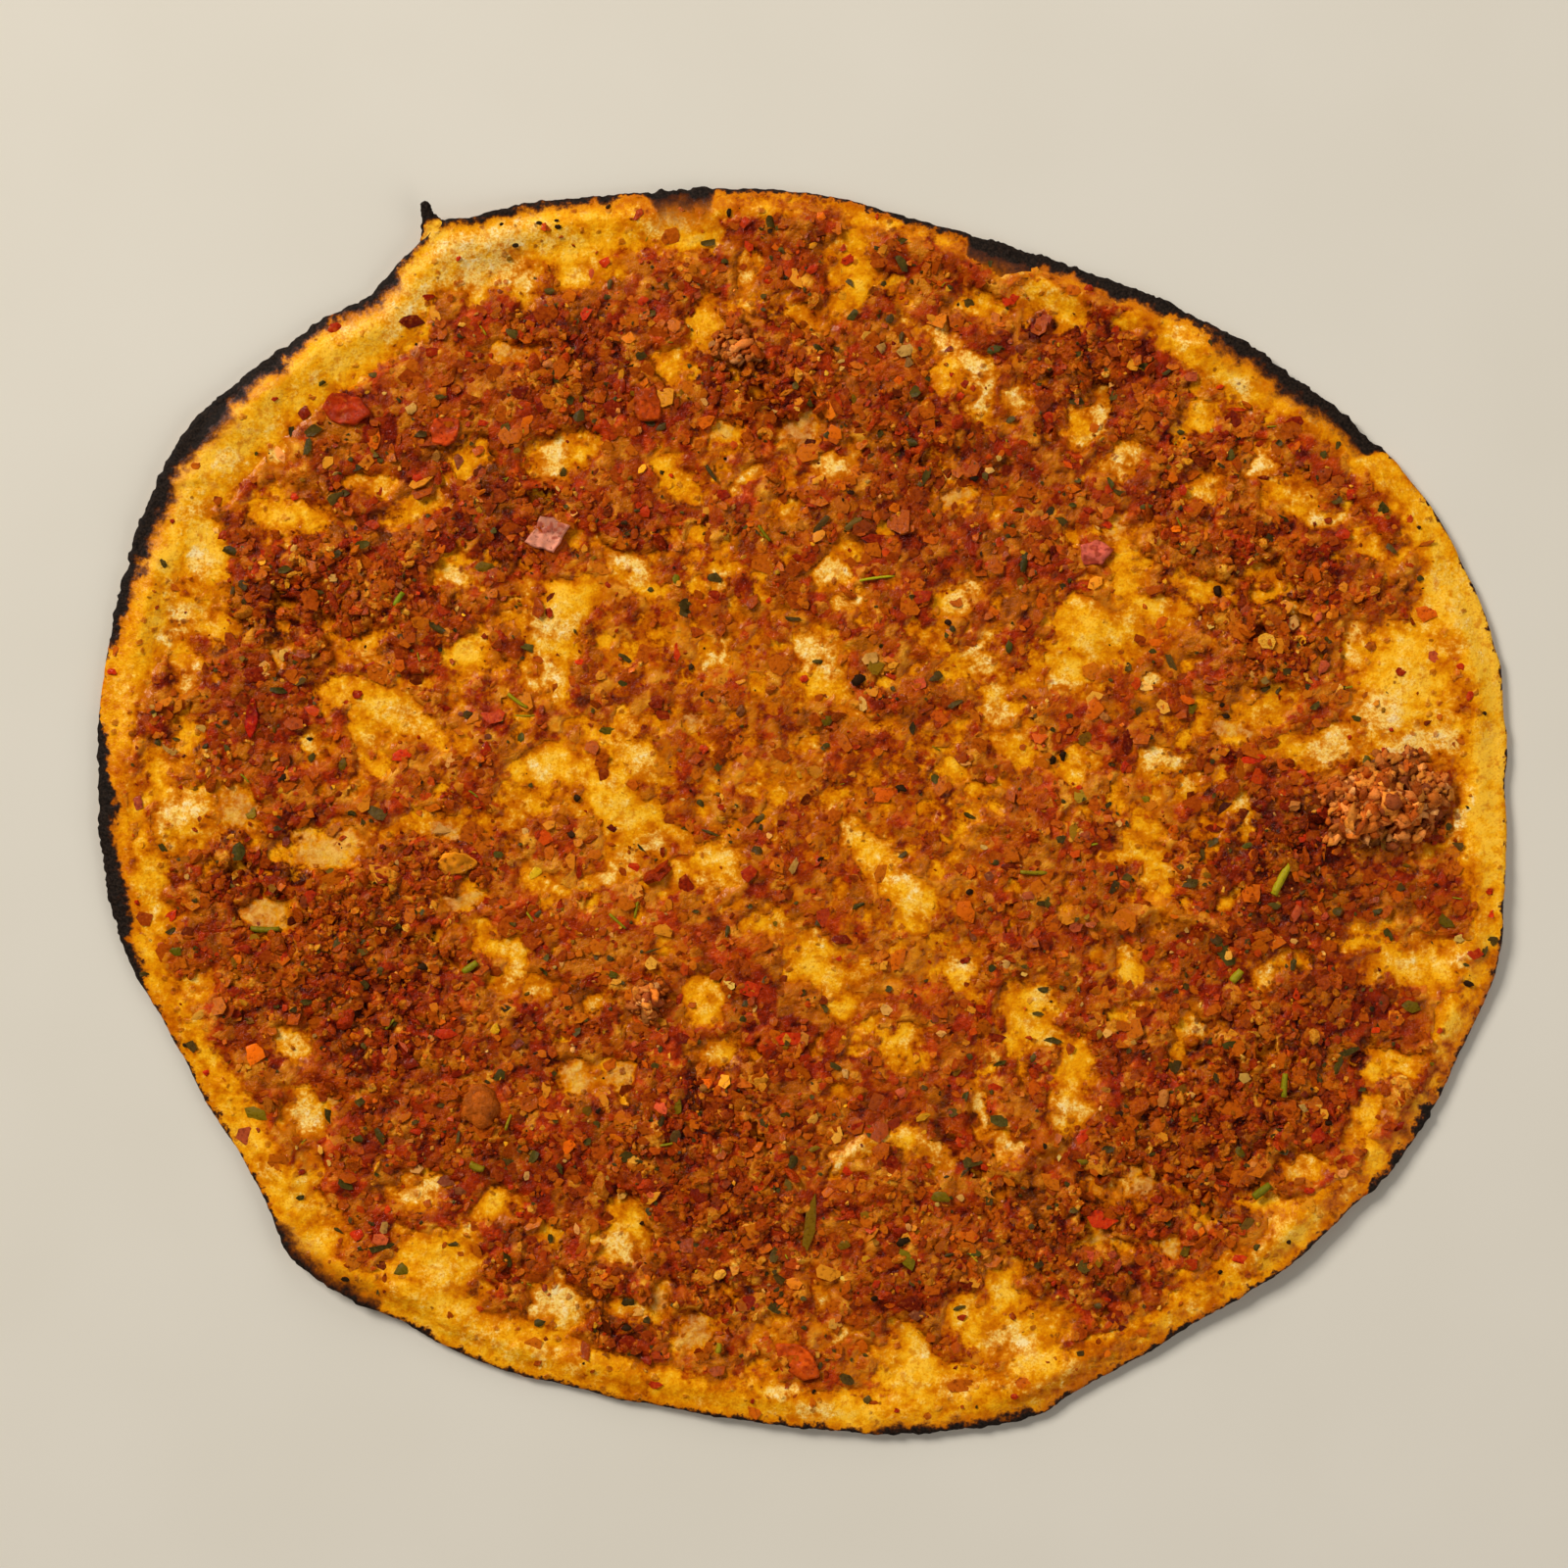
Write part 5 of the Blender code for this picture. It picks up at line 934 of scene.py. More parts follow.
def make_bread():
    px, py, pz, deep, belly = [], [], [], [], []
    counts, starts = [], []
    total = 0
    rings = bread_rings()

    def add(x, y, z, d, under):
        nonlocal total
        px.append(x); py.append(y); pz.append(z)
        deep.append(np.full(len(x), d)); belly.append(np.full(len(x), under))
        starts.append(total)
        counts.append(len(x))
        total += len(x)

    for d, share, n in rings:
        x, y, b = ring_points(d, share, n)
        low = underside(x, y)
        thick = bread_thickness(x, y)
        if share is None:
            k = rounding(d)
            z = low + thick * (0.5 + 0.5 * k)
        else:
            z = low + thick
        add(x, y, z, d, 0.0)
    faces = []

    def join(outer, inner):
        a, n, c, k = starts[outer], counts[outer], starts[inner], counts[inner]
        i = np.arange(n)
        if n == k:
            faces.append(np.stack([a + i, a + (i + 1) % n, c + (i + 1) % n], 1))
            faces.append(np.stack([a + i, c + (i + 1) % n, c + i], 1))
        else:
            j = np.arange(k)
            o0, o1, o2 = a + 2 * j, a + 2 * j + 1, a + (2 * j + 2) % n
            i0, i1 = c + j, c + (j + 1) % k
            faces.append(np.stack([o0, o1, i0], 1))
            faces.append(np.stack([o1, i1, i0], 1))
            faces.append(np.stack([o1, o2, i1], 1))

    for k in range(len(rings) - 1):
        join(k, k + 1)
    # the middle of the top
    last = len(rings) - 1
    cx = np.zeros(1)
    add(cx, cx, bread_thickness(cx, cx), 99.0, 0.0)
    j = np.arange(counts[last])
    faces.append(np.stack([starts[last] + j, starts[last] + (j + 1) % counts[last],
                           np.full_like(j, starts[-1])], 1))
    # the underside, from the edge inwards
    under = [(0.12, 1440), (0.35, 1440), (0.7, 1440), (1.2, 1440), (2.2, 720),
             (4.0, 720), (6.5, 720), (10.0, 360), (14.0, 360), (19.0, 180)]
    previous = 0
    for d, n in under:
        x, y, b = ring_points(d, None, n)
        k = rounding(d)
        z = underside(x, y) + bread_thickness(x, y) * (0.5 - 0.5 * k)
        z = z + 0.10 * fbm(x, y, 5.0, 401, 3) * smooth(0.0, 3.0, d) * (underside(x, y) > 0.25)
        add(x, y, np.maximum(z, 0.0), d, 1.0 if d > 0.9 else d / 0.9)
        here = len(starts) - 1
        outer, inner = previous, here
        a, m, c, q = starts[outer], counts[outer], starts[inner], counts[inner]
        if m == q:
            i = np.arange(m)
            faces.append(np.stack([a + (i + 1) % m, a + i, c + i], 1))
            faces.append(np.stack([a + (i + 1) % m, c + i, c + (i + 1) % m], 1))
        else:
            i = np.arange(q)
            o0, o1, o2 = a + 2 * i, a + 2 * i + 1, a + (2 * i + 2) % m
            i0, i1 = c + i, c + (i + 1) % q
            faces.append(np.stack([o1, o0, i0], 1))
            faces.append(np.stack([o1, i0, i1], 1))
            faces.append(np.stack([o2, o1, i1], 1))
        previous = here
    rims = [0.80, 0.60, 0.40, 0.20]
    for share in rims:
        x, y, b = ring_points(19.0, share, counts[previous])
        add(x, y, np.zeros(len(x)), 30.0, 1.0)
        here = len(starts) - 1
        a, m, c = starts[previous], counts[previous], starts[here]
        i = np.arange(m)
        faces.append(np.stack([a + (i + 1) % m, a + i, c + i], 1))
        faces.append(np.stack([a + (i + 1) % m, c + i, c + (i + 1) % m], 1))
        previous = here
    add(cx, cx, np.zeros(1), 99.0, 1.0)
    j = np.arange(counts[previous])
    faces.append(np.stack([starts[previous] + (j + 1) % counts[previous], starts[previous] + j,
                           np.full_like(j, starts[-1])], 1))

    x, y, z = np.concatenate(px), np.concatenate(py), np.concatenate(pz)
    belly_all = np.concatenate(belly)
    lev, cr, gr, ins, b = bare_level(x, y)
    width, halo = char_of(b)
    depth_true = edge_radius(b) + ragged(b) - np.hypot(x, y)
    wobble = 1.0 + 0.35 * noise1(x, y, 5.0, 501) + 0.25 * noise1(x, y, 2.0, 503)
    burnt = width * wobble - depth_true - 0.35
    return new_object("bread_body", np.stack([x, y, z], 1), np.concatenate(faces), bread_mat,
                      {"level": lev, "cream": cr, "grey": gr, "burnt": burnt,
                       "tone": sample(tone_and_relief_shading, x, y), "red": sample(red_grid, x, y),
                       "amber": sample(amber_grid, x, y), "coarse": sample(coarse, x, y),
                       "halo": np.maximum(halo, 0.3), "under": belly_all})


bread = make_bread()


def make_spur():
    """The drawn-out tip of dough on the upper left corner: a bent, tapering
    finger whose root is sunk in the edge."""
    path = [from_px(*p) for p in ((454, 252), (447, 240), (441, 230), (437, 221), (435, 213), (434, 206))]
    wide = (15.0, 9.5, 5.2, 2.8, 2.3, 2.0)
    high = (2.2, 2.3, 2.1, 1.8, 1.7, 1.5)
    base_z = float(sample(z_top, *[np.array([c]) for c in path[0]])[0])
    pts = np.array(path)
    t = np.linspace(0, len(path) - 1, 26)
    cx = np.interp(t, range(len(path)), pts[:, 0])
    cy = np.interp(t, range(len(path)), pts[:, 1])
    w = np.interp(t, range(len(path)), wide)
    h = np.interp(t, range(len(path)), high)
    top = np.interp(t, (0.0, 0.8, 1.7, 2.4, 5.0), (base_z - 1.0, base_z - 0.35, base_z - 0.05, base_z + 0.3, base_z + 1.1))
    # round the tip off
    tip = np.clip((t[-1] - t) / 0.7, 0, 1)
    cap = np.sqrt(np.clip(1 - (1 - tip) ** 2, 0.0, 1))
    n = 16
    verts, deep, side = [], [], []
    for k in range(len(t)):
        k0, k1 = max(k - 1, 0), min(k + 1, len(t) - 1)
        dx, dy = cx[k1] - cx[k0], cy[k1] - cy[k0]
        length = math.hypot(dx, dy)
        nxx, nyy = -dy / length, dx / length
        for i in range(n):
            a = 2 * math.pi * i / n
            grow = 1 + 0.16 * math.sin(3 * a + 1.7 * k) * 0.5 + 0.10 * math.sin(5 * a - k)
            s = 0.5 * w[k] * cap[k] * math.cos(a) * grow
            verts.append((cx[k] + nxx * s, cy[k] + nyy * s,
                          top[k] - 0.5 * h[k] + 0.5 * h[k] * cap[k] * math.sin(a) * grow))
            deep.append(t[k])
            side.append(abs(math.cos(a)))
    faces = []
    for k in range(len(t) - 1):
        for i in range(n):
            j = (i + 1) % n
            a, b, c, d = k * n + i, k * n + j, (k + 1) * n + j, (k + 1) * n + i
            faces += [(a, b, c), (a, c, d)]
    first, end = len(verts), len(verts) + 1
    verts += [(cx[0], cy[0], top[0] - 0.5 * h[0]), (cx[-1], cy[-1], top[-1] - 0.5 * h[-1])]
    deep += [0.0, t[-1]]
    side += [0.0, 1.0]
    for i in range(n):
        j = (i + 1) % n
        faces += [(first, j, i), (end, (len(t) - 1) * n + i, (len(t) - 1) * n + j)]
    deep, side = np.array(deep), np.array(side)
    count = len(verts)
    obj = new_object("bread_spur", verts, faces, bread_mat,
                     {"level": np.full(count, 6.0), "tone": np.full(count, 0.5),
                      "red": np.zeros(count), "amber": np.zeros(count), "coarse": np.zeros(count),
                      "cream": 0.55 * smooth(2.6, 1.2, deep),
                      "grey": np.zeros(count), "burnt": -3.2 + 5.0 * smooth(1.5, 3.1, deep) + 2.8 * smooth(0.60, 0.97, side) * smooth(0.4, 1.4, deep),
                      "halo": np.full(count, 1.4), "under": np.zeros(count)})
    bm = bmesh.new()
    bm.from_mesh(obj.data)
    bmesh.ops.recalc_face_normals(bm, faces=bm.faces[:])
    bm.to_mesh(obj.data)
    bm.free()
    return obj


spur = make_spur()

# --------------------------------------------------------------- mince sheet
keep = (level < 1.1) & (inset > 1.6)
faces_mask = keep[:-1, :-1] & keep[1:, :-1] & keep[:-1, 1:] & keep[1:, 1:]
index = np.arange(nx * ny).reshape(ny, nx)
j, i = np.nonzero(faces_mask)
quads = np.stack([index[j, i], index[j, i + 1], index[j + 1, i + 1], index[j + 1, i]], 1)
used = np.unique(quads)
renumber = np.zeros(nx * ny, np.int64)
renumber[used] = np.arange(len(used))
quads = renumber[quads]
mx, my, mz = GX.ravel()[used], GY.ravel()[used], z_mince.ravel()[used]

sheet = new_object("mince_layer", np.stack([mx, my, mz], 1), quads, mince_mat,
                   {"tone": tone_and_relief_shading.ravel()[used], "red": red_grid.ravel()[used],
                    "amber": amber_grid.ravel()[used], "coarse": coarse.ravel()[used],
                    "level": level.ravel()[used], "cream": cream.ravel()[used],
                    "grey": grey.ravel()[used]})


# ------------------------------------------------------------- loose granules
def ico(detail):
    bm = bmesh.new()
    bmesh.ops.create_icosphere(bm, subdivisions=detail, radius=1.0)
    v = np.array([p.co[:] for p in bm.verts])
    f = np.array([[q.index for q in face.verts] for face in bm.faces])
    bm.free()
    return v, f


def knobbly(detail, amount, count, seed):
    """Some uneven lumps of unit size."""
    local = np.random.default_rng(seed)
    v, f = ico(detail)
    shapes = []
    for _ in range(count):
        w = v.copy()
        grow = np.ones(len(v))
        for _ in range(7):
            axis = local.normal(size=3)
            axis /= np.linalg.norm(axis)
            grow += amount * local.normal() * np.cos(2.2 * (v @ axis) + local.uniform(0, 6.3))
        grow += amount * 0.8 * local.normal(size=len(v))
        w *= np.clip(grow, 0.45, 1.6)[:, None]
        w /= np.abs(w).max(0)
        shapes.append(w)
    return shapes, f


def chip_shapes(count, seed, corners, fine, curl):
    """Chopped bits: thin, many-cornered, cut straight, a little curled."""
    local = np.random.default_rng(seed)
    shapes = []
    n = 2 * corners if fine else corners
    for _ in range(count):
        a = (np.arange(corners) + 0.32 * local.uniform(-1, 1, corners)) * 2 * math.pi / corners
        r = local.uniform(0.55, 1.0, corners)
        x, y = r * np.cos(a), r * np.sin(a)
        if fine:                       # a point in the middle of each side
            mx_ = 0.5 * (x + np.roll(x, -1)) * local.uniform(0.92, 1.08, corners)
            my_ = 0.5 * (y + np.roll(y, -1)) * local.uniform(0.92, 1.08, corners)
            x, y = np.stack([x, mx_], 1).ravel(), np.stack([y, my_], 1).ravel()
        x, y = x / np.abs(x).max(), y / np.abs(y).max()
        c1, c2, c3 = local.uniform(-curl, curl, 3)

        def bend(u, v):
            return c1 * (u * u - 0.4) + c2 * (v * v - 0.4) + c3 * u * v

        rough = 0.35 * local.uniform(-1, 1, n)
        rings = [np.stack([0.93 * x, 0.93 * y, bend(x, y) - 1.0 + rough], 1),
                 np.stack([x, y, bend(x, y) + 0.45 + rough], 1)]
        if fine:
            rings.append(np.stack([0.66 * x, 0.66 * y,
                                   bend(0.66 * x, 0.66 * y) + 1.0 + 0.5 * local.uniform(-1, 1, n)], 1))
        ends = [[0, 0, bend(0, 0) - 1.0], [0, 0, bend(0, 0) + 1.1]]
        shapes.append(np.vstack(rings + [ends]))
    f = []
    k = 3 if fine else 2
    for i in range(n):
        j = (i + 1) % n
        for q in range(k - 1):
            a0, a1 = q * n, (q + 1) * n
            f += [(a0 + i, a0 + j, a1 + j), (a0 + i, a1 + j, a1 + i)]
        f += [((k - 1) * n + i, (k - 1) * n + j, k * n + 1), (j, i, k * n)]
    return shapes, np.array(f)


def stem_shapes(count, seed):
    """Short lengths of stem: a bent tube with cut ends."""
    local = np.random.default_rng(seed)
    n, m = 7, 6
    shapes = []
    for _ in range(count):
        bend = local.uniform(-0.5, 0.5)
        pts = []
        for k in range(m):
            t = -1 + 2 * k / (m - 1)
            for i in range(n):
                a = 2 * math.pi * i / n
                g = 1 + 0.12 * math.sin(2 * a + k)
                pts.append((t, g * math.cos(a) + bend * (1 - t * t), g * math.sin(a)))
        pts += [(-1.02, 0, 0), (1.02, 0, 0)]
        w = np.array(pts)
        w[:, 1] /= np.abs(w[:, 1]).max()
        w[:, 2] /= np.abs(w[:, 2]).max()
        shapes.append(w)
    f = []
    for k in range(m - 1):
        for i in range(n):
            j = (i + 1) % n
            a, b, c, d = k * n + i, k * n + j, (k + 1) * n + j, (k + 1) * n + i
            f += [(a, c, b), (a, d, c)]
    for i in range(n):
        j = (i + 1) % n
        f += [(m * n, i, j), (m * n + 1, (m - 1) * n + j, (m - 1) * n + i)]
    return shapes, np.array(f)


def rotations(turn, pitch, roll):
    """Turn about Z after small tilts, one matrix for each piece."""
    ct, st = np.cos(turn), np.sin(turn)
    cp, sp = np.cos(pitch), np.sin(pitch)
    cr, sr = np.cos(roll), np.sin(roll)
    out = np.empty((len(turn), 3, 3))
    out[:, 0, 0], out[:, 0, 1], out[:, 0, 2] = ct * cp, ct * sp * sr - st * cr, ct * sp * cr + st * sr
    out[:, 1, 0], out[:, 1, 1], out[:, 1, 2] = st * cp, st * sp * sr + ct * cr, st * sp * cr - ct * sr
    out[:, 2, 0], out[:, 2, 1], out[:, 2, 2] = -sp, cp * sr, cp * cr
    return out


def joined(shapes, face, x, y, size, values, turn=None, tilt=0.5, sink=0.35, lift_by=None, local=rng):
    """Joined copies of the shapes.  size is (n, 3) half sizes in mm, and values
    are per-piece numbers or colours."""
    n = len(x)
    if turn is None:
        turn = local.uniform(0, 2 * math.pi, n)
    rot = rotations(turn, local.normal(0, tilt, n), local.normal(0, tilt, n))
    pick = local.integers(0, len(shapes), n)
    stack = np.array(shapes)[pick] * size[:, None, :]
    pts = np.einsum("nij,nkj->nki", rot, stack)
    z = sample(z_top, x, y) if lift_by is None else lift_by
    pts[:, :, 0] += x[:, None]
    pts[:, :, 1] += y[:, None]
    pts[:, :, 2] += (z + size[:, 2] * (1.0 - 2.0 * sink))[:, None]
    k = stack.shape[1]
    faces = (face[None] + (np.arange(n) * k)[:, None, None]).reshape(-1, 3)
    return pts.reshape(-1, 3), faces, {key: np.repeat(value, k, axis=0) for key, value in values.items()}


def scatter(name, shapes, face, x, y, size, mat, values, sharp=None, **how):
    pts, faces, attributes = joined(shapes, face, x, y, size, values, **how)
    return new_object(name, pts, faces, mat, attributes, sharp)


def strewn(count, weight, seed):
    """Places strewn over the field, more where the weight is high."""
    local = np.random.default_rng(seed)
    p = np.clip(weight, 0, None).ravel()
    p = p / p.sum()
    pick = local.choice(len(p), size=count, p=p)
    x = GX.ravel()[pick] + local.uniform(-0.5, 0.5, count) * STEP
    y = GY.ravel()[pick] + local.uniform(-0.5, 0.5, count) * STEP
    return x, y


spread_weight = cover * (inset > 3.0)
crumb_weight = spread_weight * (0.06 + 1.2 * coarse ** 1.5)
bare_weight = (level > 0.3) * (inset > 4.0) * smooth(6.0, 0.5, level)

pieces = []

# coarse crumbs of mince
shapes, face = knobbly(2, 0.35, 24, 5)
n = 1900
x, y = strewn(n, crumb_weight, 601)
s = rng.lognormal(math.log(1.12), 0.34, n)
size = np.stack([s * rng.uniform(0.85, 1.7, n), s * rng.uniform(0.6, 1.0, n), s * rng.uniform(0.4, 0.75, n)], 1)
values = {"tone": np.clip(sample(tone_and_relief_shading, x, y) * 0.55 + 0.27 + rng.normal(0, 0.13, n), 0.08, 0.95),
          "red": (rng.uniform(size=n) < 0.22) * rng.uniform(0.4, 1.0, n),
          "amber": (rng.uniform(size=n) < 0.18) * rng.uniform(0.4, 1.0, n)}
coarse_crumbs = scatter("mince_crumbs_coarse", shapes, face, x, y, size, crumb_mat, values,
                        sink=0.50, sharp=36)

# fine crumbs
shapes, face = knobbly(1, 0.32, 30, 6)
n = 4000
x, y = strewn(n, spread_weight * (0.12 + 1.1 * coarse) + 0.03 * bare_weight, 602)
s = rng.lognormal(math.log(0.60), 0.28, n)
size = np.stack([s * rng.uniform(0.85, 1.4, n), s * rng.uniform(0.7, 1.0, n), s * rng.uniform(0.5, 0.85, n)], 1)
values = {"tone": np.clip(sample(tone_and_relief_shading, x, y) * 0.5 + 0.29 + rng.normal(0, 0.16, n), 0.08, 1.0),
          "red": (rng.uniform(size=n) < 0.24) * rng.uniform(0.4, 1.0, n),
          "amber": (rng.uniform(size=n) < 0.20) * rng.uniform(0.4, 1.0, n)}
fine_crumbs = scatter("mince_crumbs_fine", shapes, face, x, y, size, crumb_mat, values,
                      sink=0.46, sharp=34)

TINTS = {"r": lin(178, 42, 6), "d": lin(124, 26, 1), "k": lin(188, 76, 38), "o": lin(204, 92, 4),
         "y": lin(216, 138, 18), "w": lin(206, 146, 62), "u": lin(150, 70, 34), "g": lin(76, 58, 16),
         "s": lin(146, 130, 12), "v": lin(108, 84, 4), "b": lin(46, 27, 8), "m": lin(194, 112, 40),
         "a": lin(168, 76, 2)}
# half the thickness, mm
KIND_THICK = {"r": 0.26, "d": 0.24, "k": 0.30, "o": 0.28, "y": 0.26, "w": 0.24, "u": 0.24,
              "g": 0.13, "s": 0.9, "v": 0.24, "b": 0.35, "m": 0.6, "a": 0.30}
GROUPS = (("red_bits", "rdk", veg_mat), ("orange_bits", "oya", veg_mat), ("onion_bits", "wu", onion_mat),
          ("herb_leaves", "g", leaf_mat), ("herb_stems", "s", leaf_mat), ("green_bits", "v", leaf_mat),
          ("burnt_bits", "b", burnt_mat), ("light_crumbs", "m", meat_mat))
# how many more small ones lie between the placed ones, and their mean length
EXTRA = {"r": (760, 1.5), "d": (620, 1.6), "k": (30, 1.2), "o": (950, 2.1), "y": (150, 1.2),
         "w": (130, 1.2), "u": (50, 1.2), "g": (700, 1.2), "s": (40, 1.9), "v": (110, 1.6),
         "b": (220, 0.6), "m": (120, 1.0), "a": (2200, 2.6)}

LOCAL = {"r": 0.38, "d": 0.45, "o": 0.52, "a": 0.90, "k": 0.35, "v": 0.3}
chips = chip_shapes(26, 7, 6, True, 1.1)
small_chips = chip_shapes(26, 8, 6, False, 1.0)
leafs = chip_shapes(26, 9, 7, True, 3.6)
small_leafs = chip_shapes(26, 12, 6, False, 3.0)
nubs = knobbly(2, 0.20, 12, 13)
small_nubs = knobbly(1, 0.22, 12, 14)


def shade_at(stops, v):
    """The colour of a ramp at those values."""
    at = [a for a, _ in stops]
    return np.stack([np.interp(v, at, [c[k] for _, c in stops]) for k in range(3)], 1)


stems = stem_shapes(8, 10)
made = []
for group, kinds, mat in GROUPS:
    for part in ("", "_small"):
        xs, ys, sizes, turns, tints = [], [], [], [], []
        for kind in kinds:
            if part == "":
                chosen = [p for p in piece_list if p[0] == kind]
                px_ = np.array([p[1] for p in chosen])
                py_ = np.array([p[2] for p in chosen])
                half = np.array([[p[3], p[4]] for p in chosen]).reshape(-1, 2) * 0.5
                turn_ = np.radians([p[5] for p in chosen])
            else:
                number, mean = EXTRA[kind]
                weight = spread_weight + 0.10 * bare_weight
                if kind in "b":
                    weight = spread_weight * 0.6 + 0.3 * bare_weight
                px_, py_ = strewn(number, weight, 700 + ord(kind))
                long_ = np.minimum(rng.lognormal(math.log(mean), 0.45, number), 6.0)
                wide_ = long_ * rng.uniform(0.45, 0.95, number)
                if kind == "s":
                    wide_ = long_ * 0.22
                half = np.stack([long_, wide_], 1) * 0.5
                turn_ = rng.uniform(0, 2 * math.pi, number)
            if not len(px_):
                continue
            thick = np.full(len(px_), KIND_THICK[kind]) * rng.uniform(0.75, 1.25, len(px_))
            if kind in "mb":
                thick = half.min(1) * 0.7
            base = np.array(TINTS[kind])
            shade = rng.lognormal(-0.03, 0.22 if kind not in "b" else 0.15, len(px_))[:, None]
            tint = np.clip(base[None] * shade * rng.lognormal(0, 0.08, (len(px_), 3)), 0, 1)
            if part and kind in LOCAL:
                spread = shade_at(MINCE_STOPS, np.clip(sample(tone_and_relief_shading, px_, py_) + 0.05
                                                       + rng.normal(0, 0.12, len(px_)), 0.05, 0.95))
                tint = tint + LOCAL[kind] * (spread - tint)
            xs.append(px_); ys.append(py_); turns.append(turn_)
            sizes.append(np.column_stack([half, thick])); tints.append(tint)
        if not xs:
            continue
        x, y = np.concatenate(xs), np.concatenate(ys)
        size, turn, tint = np.concatenate(sizes), np.concatenate(turns), np.concatenate(tints)
        shapes, face = small_chips if part else chips
        tilt, sink, sharp = 0.14, (0.60 if part else 0.50), (60 if part else 48)
        if "g" in kinds:
            shapes, face = small_leafs if part else leafs
            tilt, sink = 0.20, 0.10
        elif "s" in kinds:
            shapes, face = stems
            size[:, 2] = size[:, 1] * 0.9
            tilt, sink, sharp = 0.08, 0.25, None
        elif "m" in kinds or "b" in kinds:
            shapes, face = small_nubs if part else nubs
            tilt, sink, sharp = 0.3, 0.35, 50
        made.append(scatter(group + part, shapes, face, x, y, size, mat, {"tint": tint},
                            turn=turn, tilt=tilt if part == "" else 0.24, sink=sink, sharp=sharp,
                            lift_by=sample(z_top, x, y) + (0.28 if part == "" else 0.12)
                            * (0.15 + 0.85 * smooth(0.15, 0.7, sample(cover, x, y)))))


# --------------------------------------------------- the larger single pieces
def noise3(v, size, seed):
    """Smooth noise in space, from three flat noises."""
    return (noise1(v[:, 0] + 3.1 * v[:, 2], v[:, 1] - 1.7 * v[:, 2], size, seed)
            + noise1(v[:, 1] + 2.3 * v[:, 0], v[:, 2] + 0.9 * v[:, 1], size, seed + 1)
            + noise1(v[:, 2] - 1.3 * v[:, 1], v[:, 0] + 1.1 * v[:, 2], size, seed + 2)) / 3.0


def lump(name, px, py, length, width, height, turn, detail, rough, tint, crumb, mat=None, sink=0.22):
    """A lump of meat: a rough ball with crumbs standing out of it."""
    v, f = ico(detail)
    cx, cy = from_px(px, py)
    scale = np.array([length, width, height * 1.35]) * 0.5
    w = v * scale
    base = noise3(w, 7.0, 801)
    mid = noise3(w, 3.0, 811)
    tag = noise3(w, 1.5, 821)
    d1, d2, t1 = cells(w[:, 0] + 0.7 * w[:, 2], w[:, 1] - 0.6 * w[:, 2], crumb, 831)
    grow = 1 + rough * (0.9 * base + 0.55 * mid + 0.3 * tag) + 0.16 * (dome(d1, t1, 0.66) - 0.5)
    w = v * scale * grow[:, None]
    low = -0.32 * height
    w[:, 2] = np.where(w[:, 2] < low, low + 0.15 * (w[:, 2] - low), w[:, 2])
    a = math.radians(turn)
    x = cx + w[:, 0] * math.cos(a) - w[:, 1] * math.sin(a)
    y = cy + w[:, 0] * math.sin(a) + w[:, 1] * math.cos(a)
    ground = sample(z_top, np.array([cx]), np.array([cy]))[0]
    z = w[:, 2] - low + ground - sink * height
    # painted light and shade: lighter where the ball bulges out, darker in its hollows, over a random tone for each
    # crumb cell
    shade = 0.85 + 0.55 * np.clip(grow - 1, -0.4, 0.4) + 0.35 * (t1 - 0.5) + 0.2 * mid
    colour = np.clip(np.array(tint)[None] * shade[:, None], 0, 1)
    # a tenth less blue everywhere, for a warmer colour
    colour[:, 2] *= 0.9
    return new_object(name, np.stack([x, y, z], 1), f, mat or meat_mat, {"tint": colour})


MEAT_TINTS = (lin(196, 116, 48), lin(180, 98, 36), lin(198, 130, 66), lin(176, 90, 24), lin(164, 72, 12),
              lin(138, 58, 10), lin(190, 112, 34), lin(172, 90, 26), lin(120, 54, 20), lin(184, 108, 34))


